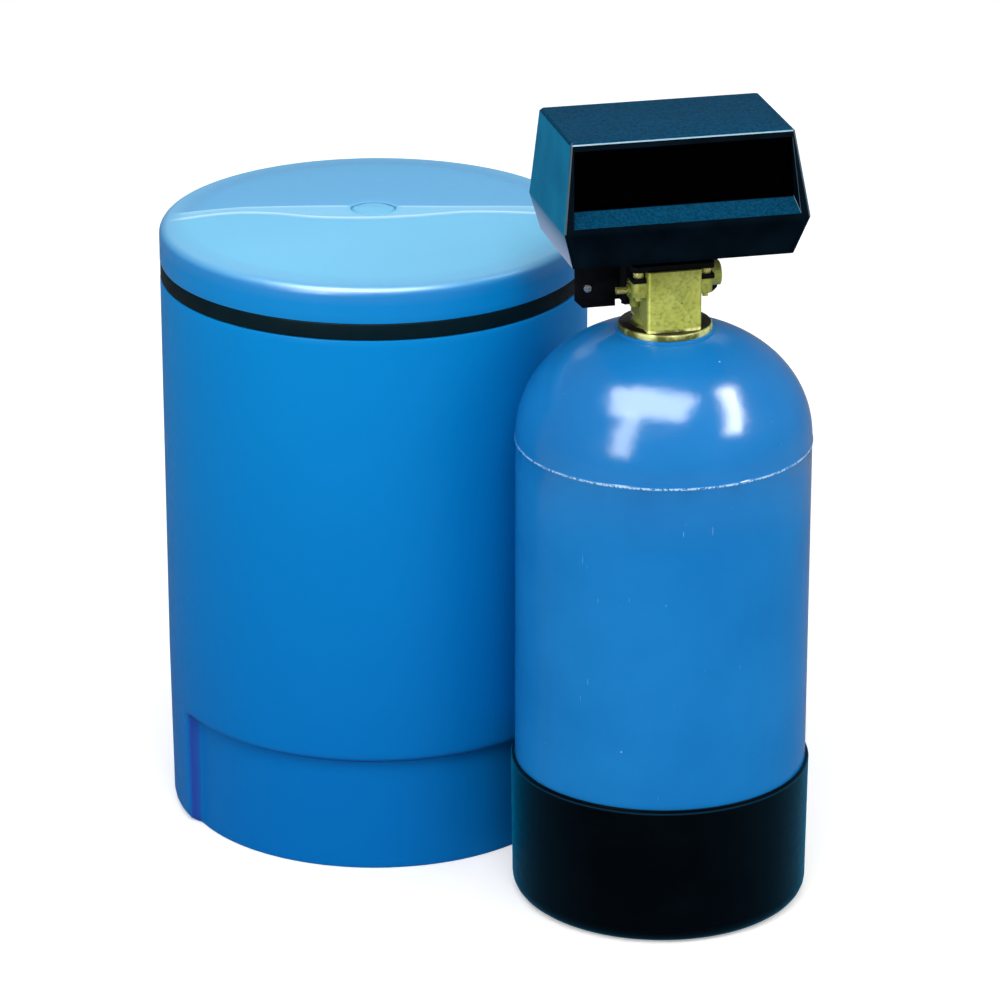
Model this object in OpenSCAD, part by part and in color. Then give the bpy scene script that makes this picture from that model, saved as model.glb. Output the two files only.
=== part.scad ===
/* [Resin tank] */
// Outer diameter of the glass-fibre resin tank
tank_d = 257; // [254:1:258]
// Wall of the resin tank with its liner
tank_wall = 4; // [3:0.5:5]
// Height of the shoulder seam, where the top dome starts
seam_z = 425; // [415:1:430]
// Height of the top dome above the seam
dome_h = 102; // [100:1:104]
// Radius of the threaded neck bore
neck_r = 36.35; // [36.3:0.05:36.5]
// Height of the rubber boot's rim
boot_h = 129; // [120:1:140]
// Outer radius of the boot at its rim
boot_r = 131.7; // [131.5:0.1:132.5]

/* [Control valve] */
// Top of the brass tank flange
flange_z = 531; // [531:0.5:532]
// Radius of the brass tank flange
flange_r = 40.3; // [39:0.1:42]
// Width of the brass block
block_w = 48; // [46:1:50]
// Top of the brass block
block_top = 585; // [584:0.5:586]
// Distance from the valve axis to the block's front face
block_front = 31; // [29:0.5:32]
// Radius of the piston
piston_r = 11.3; // [11:0.1:11.6]
// Piston stroke from service to backwash
stroke = 14; // [10:1:14]

/* [Control head] */
// Top of the head cover
cover_top = 710.7; // [708:0.5:712]
// Height of the cover's widest line
cover_waist = 638.7; // [636:0.5:640]
// Lower edge of the cover
cover_low = 603.3; // [602:0.5:604]
// Wall of the cover
cover_wall = 3; // [2.5:0.5:3.5]
// Half width of the window niche at its upper edge
niche_top_w = 94.6; // [90:0.1:94.6]
// Half width of the window niche at its lower edge
niche_low_w = 98.6; // [94:0.1:99]

/* [Brine tank] */
// Outer radius of the brine tank
brine_r = 191.7; // [190:0.1:193]
// Wall of the moulded brine tank
brine_wall = 4.2; // [4:0.1:5]
// Lower edge of the black rim band
band_low = 506.9; // [505:0.1:508]
// Upper edge of the black rim band, where the lid sits
band_top = 521.7; // [521:0.1:523]
// Crown of the lid
lid_top = 566; // [562:1:570]
// Height of the ledge above the recessed foot
ledge_z = 111; // [105:1:118]
// Radius of the recessed foot
foot_r = 180.5; // [179:0.5:183]
// Brine tank axis seen from the resin tank axis, across
brine_dx = -199.4; // [-201:0.1:-199]
// Brine tank axis seen from the resin tank axis, to the back
brine_dy = 260.5; // [260:0.1:262]

/* [Hidden] */
$fn = 64;

tank_r = tank_d / 2;
// The whole object stands with the middle of its box on the origin
resin_x = -(brine_dx - brine_r + boot_r) / 2;
resin_y = -(brine_dy + brine_r - boot_r) / 2;
eps = 0.01;
run_gap = 0.05;

// Resin tank
base_z = 12;
base_dome = 66;
dome_power = 2.1;
neck_top = flange_z - 5.6;
neck_wall_r = 43;
thread_low = neck_top - 25;
seal_step = 3.65;
riser_r = 13.35;
riser_bore = 10.9;
arc_steps = 16;

// Valve
bore_r = 17;
bore_low = 541;
seal_t = 3;
seal_pitch = 9;
piston_z = 543;
piston_h = 19;
rod_low = piston_z + piston_h;
rod_h = 48;
plug_low = rod_low + stroke + 1;
plug_flange = 4;
cam_r = 33;
axis_rear = 22;
rear_face = 28;
plate_t = 2;
lug_x = 29.5;
lug_y = -20;
lug_low = 562;
lug_top = 575;
ear_t = 4;
stem_x = -30;
stem_y = 16;
brine_tube_z = 561;
drain_z = 571;
port_x = 17;
port_z = 572;
port_bore = 12.1;
port_way = 5;
yoke_pitch = 12.5;
washer_r = 6.35;
washer_x = 35;
washer_t = 3;
gland_x = 45;
gland_z = 592;

// Control head
gear_m = 1;
tooth_play = 0.03;
drive_teeth = 60;
motor_teeth = 12;
dial_teeth = 64;
gear_z = 650;
gear_y = 6;
gear_t = 7;
crank_r = stroke / 2;
motor_x = (drive_teeth + motor_teeth) / 2 * gear_m;
dial_c = [-44, 656];
timer_teeth = 8;
timer_turn = -60;
skipper_c = [22, 660];
program_c = [68, 652];
timer_y = -22;
timer_t = 1.5;
dial_y = -38;
cover_edge = 3.2;
half_top = 97.5;
half_waist = 107.3;
half_low = 96.5;
front_top = 51.1;
front_waist = 69.2;
front_low = 58.5;
back_top = 59.9;
back_waist = 55.3;
back_low = 58.9;
glass_y = -47;
shelf_z = 650;
sill_z = 641.5;
niche_z = 704;
pane_gap = 0.5;

// Brine side
recess_mid = -103.5;
recess_half = 64;
well_turn = 60;
well_out = 114;
well_pos = well_out * [cos(well_turn), sin(well_turn)];
well_r = 51;
well_wall = 2.5;
well_top = 488;
line_out = 20;
line_r = 4.76;
grid_z = 92;
crease_turn = -9.5;
crease_h = 1.1;
lid_rim = 555;
lid_edge = 9;
floor_t = 5;
bulkhead_z = 462;
overflow_z = 440;

// A point at angle a on a dome's elbow, squarer than an ellipse for p over 2
function dome_point(a, r, b, p) = [r * pow(cos(a), 2 / p), b * pow(sin(a), 2 / p)];
// Points of a dome's quarter, from the rim up to the crown or to radius stop_r
function dome_up(r, b, z, stop_r, p) = [
    for (i = [0:arc_steps]) let (q = dome_point(90 * i / arc_steps, r, b, p))
        if (q[0] >= stop_r) [q[0], z + q[1]]
];
function dome_down(r, b, z) = [
    for (i = [arc_steps:-1:0]) [r * cos(90 * i / arc_steps), z - b * sin(90 * i / arc_steps)]
];

module at_valve() {
    translate([resin_x, resin_y, 0]) children();
}

module at_brine() {
    translate([resin_x + brine_dx, resin_y + brine_dy, 0]) children();
}

// The well's own frame, with +X pointing at the nearest stretch of tank wall
module at_well() {
    at_brine() rotate([0, 0, well_turn]) translate([well_out, 0, 0]) children();
}

// A cylinder that lies along +Y, from y0 over a length
module along_y(r, y0, len) {
    translate([0, y0, 0]) rotate([-90, 0, 0]) cylinder(r = r, h = len);
}

// A cylinder that lies along +X, from x0 over a length
module along_x(r, x0, len) {
    translate([x0, 0, 0]) rotate([0, 90, 0]) cylinder(r = r, h = len);
}

module ring(r_out, r_in, z0, h) {
    translate([0, 0, z0]) difference() {
        cylinder(r = r_out, h = h);
        translate([0, 0, -1]) cylinder(r = r_in, h = h + 2);
    }
}

// A flat rectangle with round corners, made of true arcs
module round_rect(w, d, r) {
    square([w - 2 * r, d], center = true);
    square([w, d - 2 * r], center = true);
    for (sx = [-1, 1], sy = [-1, 1]) {
        translate([sx * (w / 2 - r), sy * (d / 2 - r)]) circle(r = r);
    }
}

// A spur gear's outline with straight-flanked teeth
module gear_outline(teeth, m, play) {
    pitch = 360 / teeth;
    rp = teeth * m / 2;
    polygon([
        for (i = [0:teeth - 1])
        for (k = [[-0.36, -1.2], [-0.2, 0.0], [-0.1, 0.9], [0.1, 0.9], [0.2, 0.0], [0.36, -1.2]])
        let (a = pitch * (i + k[0] + sign(-k[0]) * play), r = rp + k[1] * m) [r * cos(a), r * sin(a)]
    ]);
}

// RESIN SIDE

module tank_boot() {
    corner = 14;
    wall = boot_r - tank_r - 0.5;
    seat = dome_down(tank_r, base_dome, base_z + base_dome);
    color([0.06, 0.07, 0.09]) at_valve() {
        rotate_extrude($fn = 96) polygon(concat(
            [[104, 3], [106, 0]],
            [for (i = [0:6]) [boot_r - 1.2 - corner + corner * sin(15 * i), corner - corner * cos(15 * i)]],
            [[boot_r, boot_h - 2], [boot_r - 0.7, boot_h], [boot_r - wall + 0.3, boot_h],
             [boot_r - wall, boot_h - 2], [boot_r - wall, 84], [boot_r - wall - 0.8, 18],
             [boot_r - wall - 5, 6], [108, 3.4]]
        ));
        // The seat that carries the tank's round bottom
        rotate_extrude($fn = 96) polygon([[seat[9][0], 0], [seat[10][0], 0], seat[10], seat[9]]);
        // Ribs between the seat and the wall
        for (i = [0:11]) rotate([90, 0, 30 * i]) linear_extrude(3, center = true) polygon([
            [seat[10][0] - 1, 1], [116, 1], [boot_r - 8.7, 5], [boot_r - wall + 0.4, 17],
            [boot_r - wall + 0.4, 26], [seat[10][0] - 1, 34]
        ]);
    }
}

module resin_tank() {
    straight = base_z + base_dome;
    inner_r = tank_r - tank_wall;
    outer = concat(
        dome_down(tank_r, base_dome, straight),
        [[tank_r, seam_z - 1.4], [tank_r + 0.7, seam_z - 0.8], [tank_r + 0.7, seam_z + 1.2]],
        dome_up(tank_r, dome_h, seam_z + 2, neck_wall_r + 2, dome_power),
        [[neck_wall_r, neck_top - 2], [neck_wall_r - 0.8, neck_top], [neck_r + seal_step, neck_top],
         [neck_r + seal_step, neck_top - 2.6]]
    );
    inner = concat(
        [[neck_r, neck_top - 2.6], [neck_r, thread_low - 4]],
        [for (i = [arc_steps:-1:0])
            let (q = dome_point(90 * i / arc_steps, inner_r, dome_h - tank_wall, dome_power))
            if (q[0] >= neck_r + 4) [q[0], seam_z + q[1]]],
        [for (i = [0:arc_steps]) [inner_r * cos(90 * i / arc_steps),
            straight - (base_dome - tank_wall) * sin(90 * i / arc_steps)]]
    );
    color([0.13, 0.47, 0.74]) at_valve() rotate_extrude($fn = 128) polygon(concat(outer, inner));
}

module riser_tube() {
    color([0.88, 0.88, 0.85]) at_valve() ring(riser_r, riser_bore, 46, 487);
}

// A slotted basket, closed at one end, with a socket for the riser
module basket(r, z0, h) {
    slots = 20;
    difference() {
        translate([0, 0, z0]) cylinder(r = r, h = h);
        translate([0, 0, z0 + 3]) cylinder(r = r - 3, h = h - 6);
        translate([0, 0, z0 - 1]) cylinder(r = riser_r + run_gap, h = h + 2);
        for (i = [0:slots - 1]) rotate([0, 0, i * 360 / slots])
            translate([r - 5, -0.6, z0 + 6]) cube([8, 1.2, h - 12]);
    }
}

module lower_distributor() {
    color([0.9, 0.9, 0.86]) at_valve() {
        basket(24, base_z + tank_wall + 1.5, 33.5);
        translate([0, 0, base_z + tank_wall + 0.1]) cylinder(r = 6, h = 3);
        translate([0, 0, base_z + tank_wall + 1.5]) cylinder(r = 22, h = 3);
        difference() {
            translate([0, 0, 50]) cylinder(r1 = 24, r2 = 16.5, h = 10);
            translate([0, 0, 40]) cylinder(r = riser_r + run_gap, h = 30);
        }
    }
}

module upper_distributor() {
    color([0.9, 0.9, 0.86]) at_valve() basket(30, thread_low - 30, 30);
}

module gravel_bed() {
    inner_r = tank_r - tank_wall;
    straight = base_z + base_dome;
    color([0.55, 0.5, 0.45]) at_valve() difference() {
        rotate_extrude($fn = 96) polygon(concat(
            [for (i = [arc_steps:-1:0]) [(inner_r - 0.3) * cos(90 * i / arc_steps),
                straight - (base_dome - tank_wall - 0.3) * sin(90 * i / arc_steps)]],
            [[inner_r - 0.3, 90], [0, 90]]
        ));
        translate([0, 0, -1]) cylinder(r = 24.4, h = 62);
        translate([0, 0, 60]) cylinder(r = riser_r + 0.1, h = 40);
    }
}

module resin_bed() {
    color([0.62, 0.4, 0.14]) at_valve() ring(tank_r - tank_wall - 0.3, riser_r + 0.1, 90, 250);
}

// CONTROL VALVE

module tank_o_ring() {
    color([0.05, 0.05, 0.05]) at_valve() translate([0, 0, neck_top - 1.3])
        rotate_extrude($fn = 64) translate([neck_r + 2.35, 0]) circle(r = 1.25, $fn = 24);
}

module block_shape() {
    // Front block with softened corners, round rear and the pad that the ports leave through
    translate([0, -(block_front + 2) / 2]) round_rect(block_w, block_front - 2, 3.5);
    circle(r = axis_rear);
    translate([-port_x - 6, 0]) square([2 * port_x + 12, rear_face]);
}

module valve_body() {
    h = block_top - flange_z;
    color([0.72, 0.69, 0.33]) at_valve() difference() {
        union() {
            translate([0, 0, thread_low]) cylinder(r = neck_r - run_gap, h = neck_top - thread_low + eps);
            translate([0, 0, neck_top]) cylinder(r = flange_r, h = flange_z - neck_top - 1);
            translate([0, 0, flange_z - 1]) cylinder(r1 = flange_r, r2 = flange_r - 1, h = 1);
            translate([0, 0, flange_z - 0.5]) linear_extrude(h + 0.5) block_shape();
            // Cast fillet between the block and the flange
            translate([0, 0, flange_z - 0.5]) cylinder(r1 = 31, r2 = 23, h = 8);
            // Lugs for the cap screws
            for (s = [-1, 1]) {
                translate([s * lug_x, lug_y, lug_low]) cylinder(r = 6, h = lug_top - lug_low);
                translate([min(s * lug_x, s * 20), lug_y - 6, lug_low])
                    cube([lug_x - 20, 12, lug_top - lug_low]);
            }
            // Drain boss on the right
            translate([0, 0, drain_z]) along_x(10.5, 18, 7.5);
        }
        // Bores: riser, piston, tank top passage, ports, drain and injector
        translate([0, 0, thread_low - 1]) cylinder(r = riser_r + run_gap, h = 534 - thread_low + 1);
        translate([0, 0, 533]) cylinder(r = 9, h = 12);
        translate([0, 0, bore_low]) cylinder(r = bore_r, h = 60);
        translate([0, 21, thread_low - 1]) cylinder(r = 4, h = 62);
        translate([0, 0, 556]) along_y(4, 10, 12);
        for (s = [-1, 1]) translate([s * port_x, 0, port_z]) along_y(port_way, 7, 30);
        translate([0, 0, drain_z]) along_x(5, 10, 30);
        translate([0, 1, brine_tube_z]) along_x(2.5, -40, 30);
        for (s = [-1, 1]) translate([s * lug_x, lug_y, 555]) cylinder(r = 2.55, h = 30);
        // Sealed pin hole on the front face
        translate([6, 0, 556]) along_y(0.9, -block_front - 1, 3);
    }
}

// Seals and spacer rings lie in turn up the piston bore
module spacer_rings() {
    spacer_t = seal_pitch - seal_t;
    color([0.85, 0.84, 0.78]) at_valve() for (i = [0:3]) translate([0, 0, bore_low + seal_t + seal_pitch * i])
        difference() {
            ring(bore_r - run_gap, piston_r + 1.5, 0, spacer_t);
            for (k = [0:5]) rotate([0, 0, 60 * k + 30]) translate([0, 0, spacer_t / 2]) along_x(1.8, 8, 12);
        }
}

module piston_seals() {
    color([0.08, 0.08, 0.09]) at_valve() for (i = [0:3])
        ring(bore_r - run_gap, piston_r + run_gap, bore_low + seal_pitch * i, seal_t);
}

module piston() {
    color([0.3, 0.34, 0.3]) at_valve() difference() {
        translate([0, 0, piston_z]) cylinder(r = piston_r, h = piston_h);
        translate([0, 0, piston_z - 1]) cylinder(r = 6.5, h = 14);
        ring(piston_r + 1, 8.4, piston_z + 6, 6);
    }
}

module piston_rod() {
    color([0.75, 0.76, 0.78]) at_valve() translate([0, 0, rod_low]) cylinder(r = 3, h = rod_h);
}

module rod_link() {
    low = rod_low + rod_h;
    color([0.7, 0.71, 0.72]) at_valve() difference() {
        union() {
            translate([0, 0, low]) cylinder(r = 4.5, h = 8);
            translate([-4, -2.5, low + 6]) cube([8, 5, gear_z - crank_r - low - 6]);
            translate([0, 0, gear_z - crank_r]) along_y(6.5, -2.5, 5);
        }
        translate([0, 0, gear_z - crank_r]) along_y(2.7, -4, 8);
    }
}

module end_plug() {
    color([0.82, 0.81, 0.75]) at_valve() difference() {
        union() {
            translate([0, 0, plug_low]) cylinder(r = bore_r - run_gap, h = block_top - plug_low);
            translate([0, 0, block_top]) cylinder(r = 19.5, h = plug_flange);
            translate([0, 0, block_top + plug_flange]) cylinder(r = 8, h = 12);
        }
        translate([0, 0, plug_low - 1]) cylinder(r = 3 + run_gap, h = 40);
        translate([0, 0, plug_low + 3]) cylinder(r = 5, h = 4);
    }
}

module mounting_plate() {
    color([0.05, 0.055, 0.06]) at_valve() difference() {
        union() {
            translate([0, 0, block_top]) linear_extrude(5) round_rect(72, 2 * rear_face, 4);
            translate([0, 0, block_top + 5]) linear_extrude(13) translate([0, 4]) round_rect(60, 48, 4);
            // Cheeks that bring the two ears down onto the brass lugs
            for (s = [-1, 1]) {
                translate([s * 30.2 - 5.6, -26.5, lug_top]) cube([11.2, 13, ear_t]);
                translate([s * 30.2 - 5.6, -14.4, lug_top]) cube([11.2, 2, block_top - lug_top + 0.5]);
            }
        }
        translate([0, 0, block_top - 1]) cylinder(r = 19.6, h = 5.1);
        translate([0, 0, block_top]) cylinder(r = 8.2, h = 30);
        // Room for the cap screw heads, and their holes
        for (s = [-1, 1]) {
            translate([s * lug_x, lug_y, lug_top + ear_t]) cylinder(r = 6.2, h = 7.5);
            translate([s * lug_x, lug_y, lug_top - 1]) cylinder(r = 2.6, h = 10);
            translate([s * lug_x, lug_y, block_top - 1]) cylinder(r = 3, h = 10);
        }
        // Passage of the brine valve
        translate([stem_x, stem_y, block_top - 1]) cylinder(r = 6.6, h = 30);
        // Guide slots, as cast
        for (x = [-12, 12]) translate([x - 4, -27.5, block_top + 1]) cube([8, 3, 3]);
    }
}

module cap_screws() {
    color([0.74, 0.71, 0.42]) at_valve() for (s = [-1, 1]) translate([s * lug_x, lug_y, 0]) difference() {
        union() {
            translate([0, 0, lug_top + ear_t]) cylinder(r = 4.6, h = 5);
            translate([0, 0, lug_low - 4]) cylinder(r = 2.5, h = lug_top - lug_low + ear_t + 4.5);
        }
        translate([0, 0, lug_top + ear_t + 2.5]) cylinder(r = 2.4, h = 4, $fn = 6);
    }
}

module injector_body() {
    color([0.7, 0.67, 0.33]) at_valve() difference() {
        union() {
            translate([-31, -5, 552]) cube([9, 16, 17]);
            translate([-26.5, 2, 546]) cylinder(r = 4.5, h = 8);
            translate([0, 1, brine_tube_z]) along_x(5.2, -33.5, 4);
        }
        brass_seat();
        translate([0, 1, brine_tube_z]) along_x(2.8, -35, 5);
        translate([0, 1, brine_tube_z]) along_x(2.2, -31, 12);
        translate([-26.5, 2, 540]) cylinder(r = 2.4, h = 22);
    }
}

// The brass block and the brine valve, taken out of what is seated on them
module brass_seat() {
    translate([0, 0, flange_z]) {
        cylinder(r = axis_rear, h = 60);
        translate([-block_w / 2, -block_front, 0]) cube([block_w, block_front - 2, 60]);
        translate([-port_x - 6, 0, 0]) cube([2 * port_x + 12, rear_face, 60]);
        translate([stem_x, stem_y, 0]) cylinder(r = 6.5, h = 60);
    }
}

module injector_nozzle() {
    color([0.86, 0.2, 0.14]) at_valve() translate([-26.5, 2, 0]) difference() {
        translate([0, 0, 547]) cylinder(r1 = 2.3, r2 = 1.8, h = 11);
        translate([0, 0, 546]) cylinder(r = 0.8, h = 14);
    }
}

module injector_screws() {
    color([0.75, 0.76, 0.78]) at_valve() for (z = [555.2, 566.2]) translate([0, 7, z]) {
        difference() {
            along_x(2, -32.8, 1.8);
            translate([-33.2, -2.5, -0.3]) cube([0.9, 5, 0.6]);
        }
    }
}

module brine_valve_body() {
    color([0.06, 0.06, 0.07]) at_valve() translate([stem_x, stem_y, 0]) difference() {
        union() {
            translate([0, 0, 548]) cylinder(r = 6.4, h = 40);
            translate([0, 0, 544]) cylinder(r = 5, h = 5, $fn = 6);
        }
        translate([0, 0, 560]) cylinder(r = 2 + run_gap, h = 40);
        translate([0, 0, 550]) cylinder(r = 4, h = 14);
    }
}

module brine_valve_stem() {
    color([0.76, 0.77, 0.78]) at_valve() translate([stem_x, stem_y, 0]) {
        translate([0, 0, 559]) cylinder(r = 2, h = gear_z - 17.9 - 559);
        translate([0, 0, 608]) cylinder(r = 4.2, h = 1.6);
        translate([0, 0, 557.5]) cylinder(r = 3.4, h = 3);
    }
}

module brine_valve_spring() {
    color([0.7, 0.7, 0.72]) at_valve() translate([stem_x, stem_y, 0]) ring(3.9, 2.9, 588, 20);
}

module brine_line_tube() {
    color([0.78, 0.75, 0.4]) at_valve() translate([0, 1, brine_tube_z]) difference() {
        union() {
            along_x(3.175, -43.5, 9.5);
            along_x(2.75, -34.1, 4.1);
        }
        along_x(1.6, -46, 17);
    }
}

module drain_fitting() {
    color([0.66, 0.63, 0.32]) at_valve() translate([0, 0, drain_z]) difference() {
        union() {
            translate([25.5, 0, 0]) rotate([0, 90, 0]) cylinder(r = 12.2, h = 9, $fn = 6);
            along_x(10.6, 34, 13);
            along_x(4.9, 19, 7);
        }
        along_x(7.4, washer_x + washer_t + 0.2, 12);
        along_x(washer_r + run_gap, washer_x, washer_t + 0.3);
        along_x(3.2, 18, 20);
    }
}

module flow_washer() {
    color([0.1, 0.1, 0.1]) at_valve() translate([0, 0, drain_z]) difference() {
        along_x(washer_r, washer_x, washer_t);
        along_x(2.2, washer_x - 1, washer_t + 2);
    }
}

module port_yoke() {
    y0 = rear_face + plate_t;
    color([0.7, 0.67, 0.33]) at_valve() difference() {
        union() {
            translate([0, y0, port_z]) rotate([-90, 0, 0]) linear_extrude(5) round_rect(70, 34, 8);
            for (s = [-1, 1]) translate([s * port_x, 0, port_z]) {
                along_y(15.5, y0 + 4, 22);
                translate([0, y0 + 18, 0]) rotate([-90, 0, 0]) cylinder(r = 17.2, h = 9, $fn = 8);
            }
        }
        for (s = [-1, 1]) translate([s * port_x, 0, port_z]) {
            along_y(port_bore, y0 + 9, 30);
            along_y(port_way, y0 - 1, 12);
        }
        translate([0, 0, port_z]) for (s = [-1, 1]) translate([0, 0, s * yoke_pitch]) along_y(2.1, y0 - 1, 8);
    }
}

module yoke_screws() {
    y0 = rear_face + plate_t;
    color([0.75, 0.76, 0.78]) at_valve() for (s = [-1, 1]) translate([0, 0, port_z + s * yoke_pitch]) {
        along_y(2, y0 - plate_t + 0.1, 7);
        translate([0, y0 + 5, 0]) rotate([-90, 0, 0]) cylinder(r = 3.6, h = 2.6, $fn = 6);
    }
}

// CONTROL HEAD

module back_plate() {
    y0 = rear_face;
    color([0.045, 0.05, 0.055]) at_valve() difference() {
        translate([0, y0 + plate_t, 0]) rotate([90, 0, 0]) linear_extrude(plate_t) difference() {
            polygon([
                [-73, 545], [-66, 538], [-37, 538], [-37, 544], [50, 544], [54, 548], [54, 606], [88, 612],
                [88, 696], [84, 700], [-84, 700], [-88, 696], [-88, 606], [-73, 603]
            ]);
            for (s = [-1, 1]) translate([s * port_x, port_z]) circle(r = port_way);
            for (s = [-1, 1]) translate([0, port_z + s * yoke_pitch]) circle(r = 2.1);
            translate([-62, 556]) circle(r = 2.1);
            translate([motor_x, gear_z]) circle(r = 4);
            translate([gland_x, gland_z]) circle(r = 7);
            translate([0, gear_z]) circle(r = 2.55);
            // Vent slots behind the motor
            for (i = [0:4]) translate([-74, 630 + 12 * i]) square([26, 5]);
        }
    }
}

module bracket_screw() {
    color([0.8, 0.82, 0.84]) at_valve() translate([-62, 0, 556]) {
        translate([0, rear_face - 2.6, 0]) rotate([-90, 0, 0]) difference() {
            cylinder(r = 3.4, h = 2.6);
            translate([-4, -0.5, -0.5]) cube([8, 1, 1.2]);
        }
        along_y(2, rear_face - 0.1, 7);
        translate([0, rear_face + plate_t, 0]) rotate([-90, 0, 0]) cylinder(r = 3.8, h = 2.6, $fn = 6);
    }
}

module drive_motor() {
    y0 = rear_face + plate_t;
    color([0.55, 0.57, 0.58]) at_valve() translate([motor_x, 0, gear_z]) difference() {
        union() {
            along_y(21, y0, 16);
            along_y(18, y0 + 15.5, 2.5);
            along_y(3.9, gear_y + gear_t + 6, y0 - gear_y - gear_t - 6 + 0.1);
            translate([-27, y0, -5]) cube([54, 1.5, 10]);
        }
        for (s = [-1, 1]) translate([s * 24, 0, 0]) along_y(1.6, y0 - 1, 4);
    }
}

module motor_pinion() {
    color([0.86, 0.85, 0.8]) at_valve() translate([motor_x, gear_y + gear_t, gear_z]) rotate([90, 0, 0]) {
        linear_extrude(gear_t) rotate([0, 0, 180 + 180 / motor_teeth])
            gear_outline(motor_teeth, gear_m, tooth_play);
        translate([0, 0, -5.9]) cylinder(r = 2.2, h = 6);
    }
}

module gear_stud() {
    color([0.75, 0.76, 0.78]) at_valve() translate([0, 0, gear_z]) {
        along_y(2.5, gear_y + 0.6, rear_face - gear_y + 1);
        translate([0, rear_face + plate_t, 0]) rotate([-90, 0, 0]) cylinder(r = 4.4, h = 3, $fn = 6);
        along_y(2.5, rear_face, 2.2);
        along_y(5.5, 19, rear_face - 19);
    }
}

module drive_gear() {
    color([0.88, 0.87, 0.82]) at_valve()
    translate([0, gear_y + gear_t, gear_z]) rotate([90, 0, 0]) difference() {
        union() {
            linear_extrude(gear_t) gear_outline(drive_teeth, gear_m, tooth_play);
            // Brine cam behind the teeth: a round disc with one flat, on a neck clear of the pinion
            translate([0, 0, -5.2]) linear_extrude(4.6) difference() {
                circle(r = cam_r);
                translate([-40, cam_r - 3]) square([80, 10]);
            }
            translate([0, 0, -0.7]) cylinder(r = 26, h = 0.8);
            // Crank pin, which ends short of the link
            translate([0, -crank_r, gear_t - 0.1]) cylinder(r = 2.5, h = 2.7);
        }
        translate([0, 0, -6]) cylinder(r = 2.5 + run_gap, h = 20);
        // Dished web with six round windows
        translate([0, 0, 4.5]) difference() {
            cylinder(r = 26, h = 5);
            translate([0, 0, -1]) cylinder(r = 12, h = 7);
        }
        for (i = [0:5]) rotate([0, 0, 60 * i]) translate([19, 0, -6]) cylinder(r = 4.5, h = 20);
    }
}

module stand_offs() {
    color([0.78, 0.79, 0.8]) at_valve() for (x = [-80, 80], z = [618, 694]) translate([x, 0, z]) {
        along_y(3.5, timer_y + timer_t, rear_face - timer_y - timer_t);
        translate([0, timer_y - 2.2, 0]) rotate([-90, 0, 0]) cylinder(r = 3.6, h = 2.2, $fn = 6);
    }
}

module timer_plate() {
    color([0.7, 0.71, 0.72]) at_valve() translate([0, timer_y + timer_t, 0]) rotate([90, 0, 0])
        linear_extrude(timer_t) difference() {
            polygon([
                [-86, 616], [-82, 612], [82, 612], [86, 616], [86, 696], [82, 700], [-82, 700], [-86, 696]
            ]);
            translate(dial_c) circle(r = 3.05);
            translate(skipper_c) circle(r = 3.05);
            translate(program_c) circle(r = 3.05);
            translate(timer_shaft()) circle(r = 2.6);
        }
}

function timer_shaft() = [
    dial_c[0] + (dial_teeth + timer_teeth) / 2 * cos(timer_turn),
    dial_c[1] + (dial_teeth + timer_teeth) / 2 * sin(timer_turn)
];

module timer_motor() {
    c = timer_shaft();
    color([0.6, 0.6, 0.58]) at_valve() translate([c[0], 0, c[1]]) {
        along_y(15, timer_y + timer_t, 11);
        along_y(12, timer_y + timer_t + 10.9, 1.6);
        translate([-20, timer_y + timer_t, -4]) cube([40, 1.2, 8]);
    }
}

module timer_pinion() {
    c = timer_shaft();
    // The turn that brings a gap of the pinion onto a tooth of the dial
    mesh_turn = timer_turn * (1 + dial_teeth / timer_teeth) + 180 + 180 / timer_teeth;
    color([0.86, 0.85, 0.8]) at_valve() translate([c[0], timer_y - 4, c[1]]) rotate([90, 0, 0]) {
        linear_extrude(6) rotate([0, 0, mesh_turn]) gear_outline(timer_teeth, gear_m, tooth_play);
        translate([0, 0, -5.4]) cylinder(r = 2.2, h = 5.5);
    }
}

// A dial or wheel's pivot, which turns with it in the timer plate
module pivot(y_front) {
    along_y(3, y_front, timer_y + timer_t - y_front + 0.6);
}

module day_dial() {
    color([0.9, 0.9, 0.87]) at_valve() translate([dial_c[0], 0, dial_c[1]]) {
        translate([0, timer_y - 4, 0]) rotate([90, 0, 0]) difference() {
            linear_extrude(6) gear_outline(dial_teeth, gear_m, tooth_play);
            translate([0, 0, 2]) difference() {
                cylinder(r = 28, h = 5);
                translate([0, 0, -1]) cylinder(r = 8, h = 7);
            }
        }
        // The hour ring, its hub, and the pin that steps the skipper wheel
        translate([0, dial_y + 4, 0]) rotate([-90, 0, 0]) ring(27, 14, -2, 4.5);
        translate([0, dial_y + 2, 0]) rotate([-90, 0, 0]) ring(15, 6, 0, 7);
        along_y(7, dial_y, 8);
        for (i = [0:23]) rotate([0, 15 * i, 0]) translate([22, dial_y + 1.2, -0.5]) cube([4, 1, 1]);
        pivot(dial_y + 4);
    }
}

module skipper_wheel() {
    color([0.93, 0.93, 0.9]) at_valve() translate([skipper_c[0], 0, skipper_c[1]]) {
        translate([0, timer_y - 3, 0]) rotate([90, 0, 0]) difference() {
            union() {
                cylinder(r = 21, h = 4);
                for (i = [0:11]) rotate([0, 0, 30 * i]) translate([20, -3.4, 0]) cube([5, 6.8, 5.5]);
            }
            for (i = [0:5]) rotate([0, 0, 60 * i + 30]) translate([12.5, 0, -1]) cylinder(r = 3.6, h = 8);
        }
        along_y(6, dial_y + 2, timer_y - 3 - dial_y - 2);
        pivot(dial_y + 4);
    }
}

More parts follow.
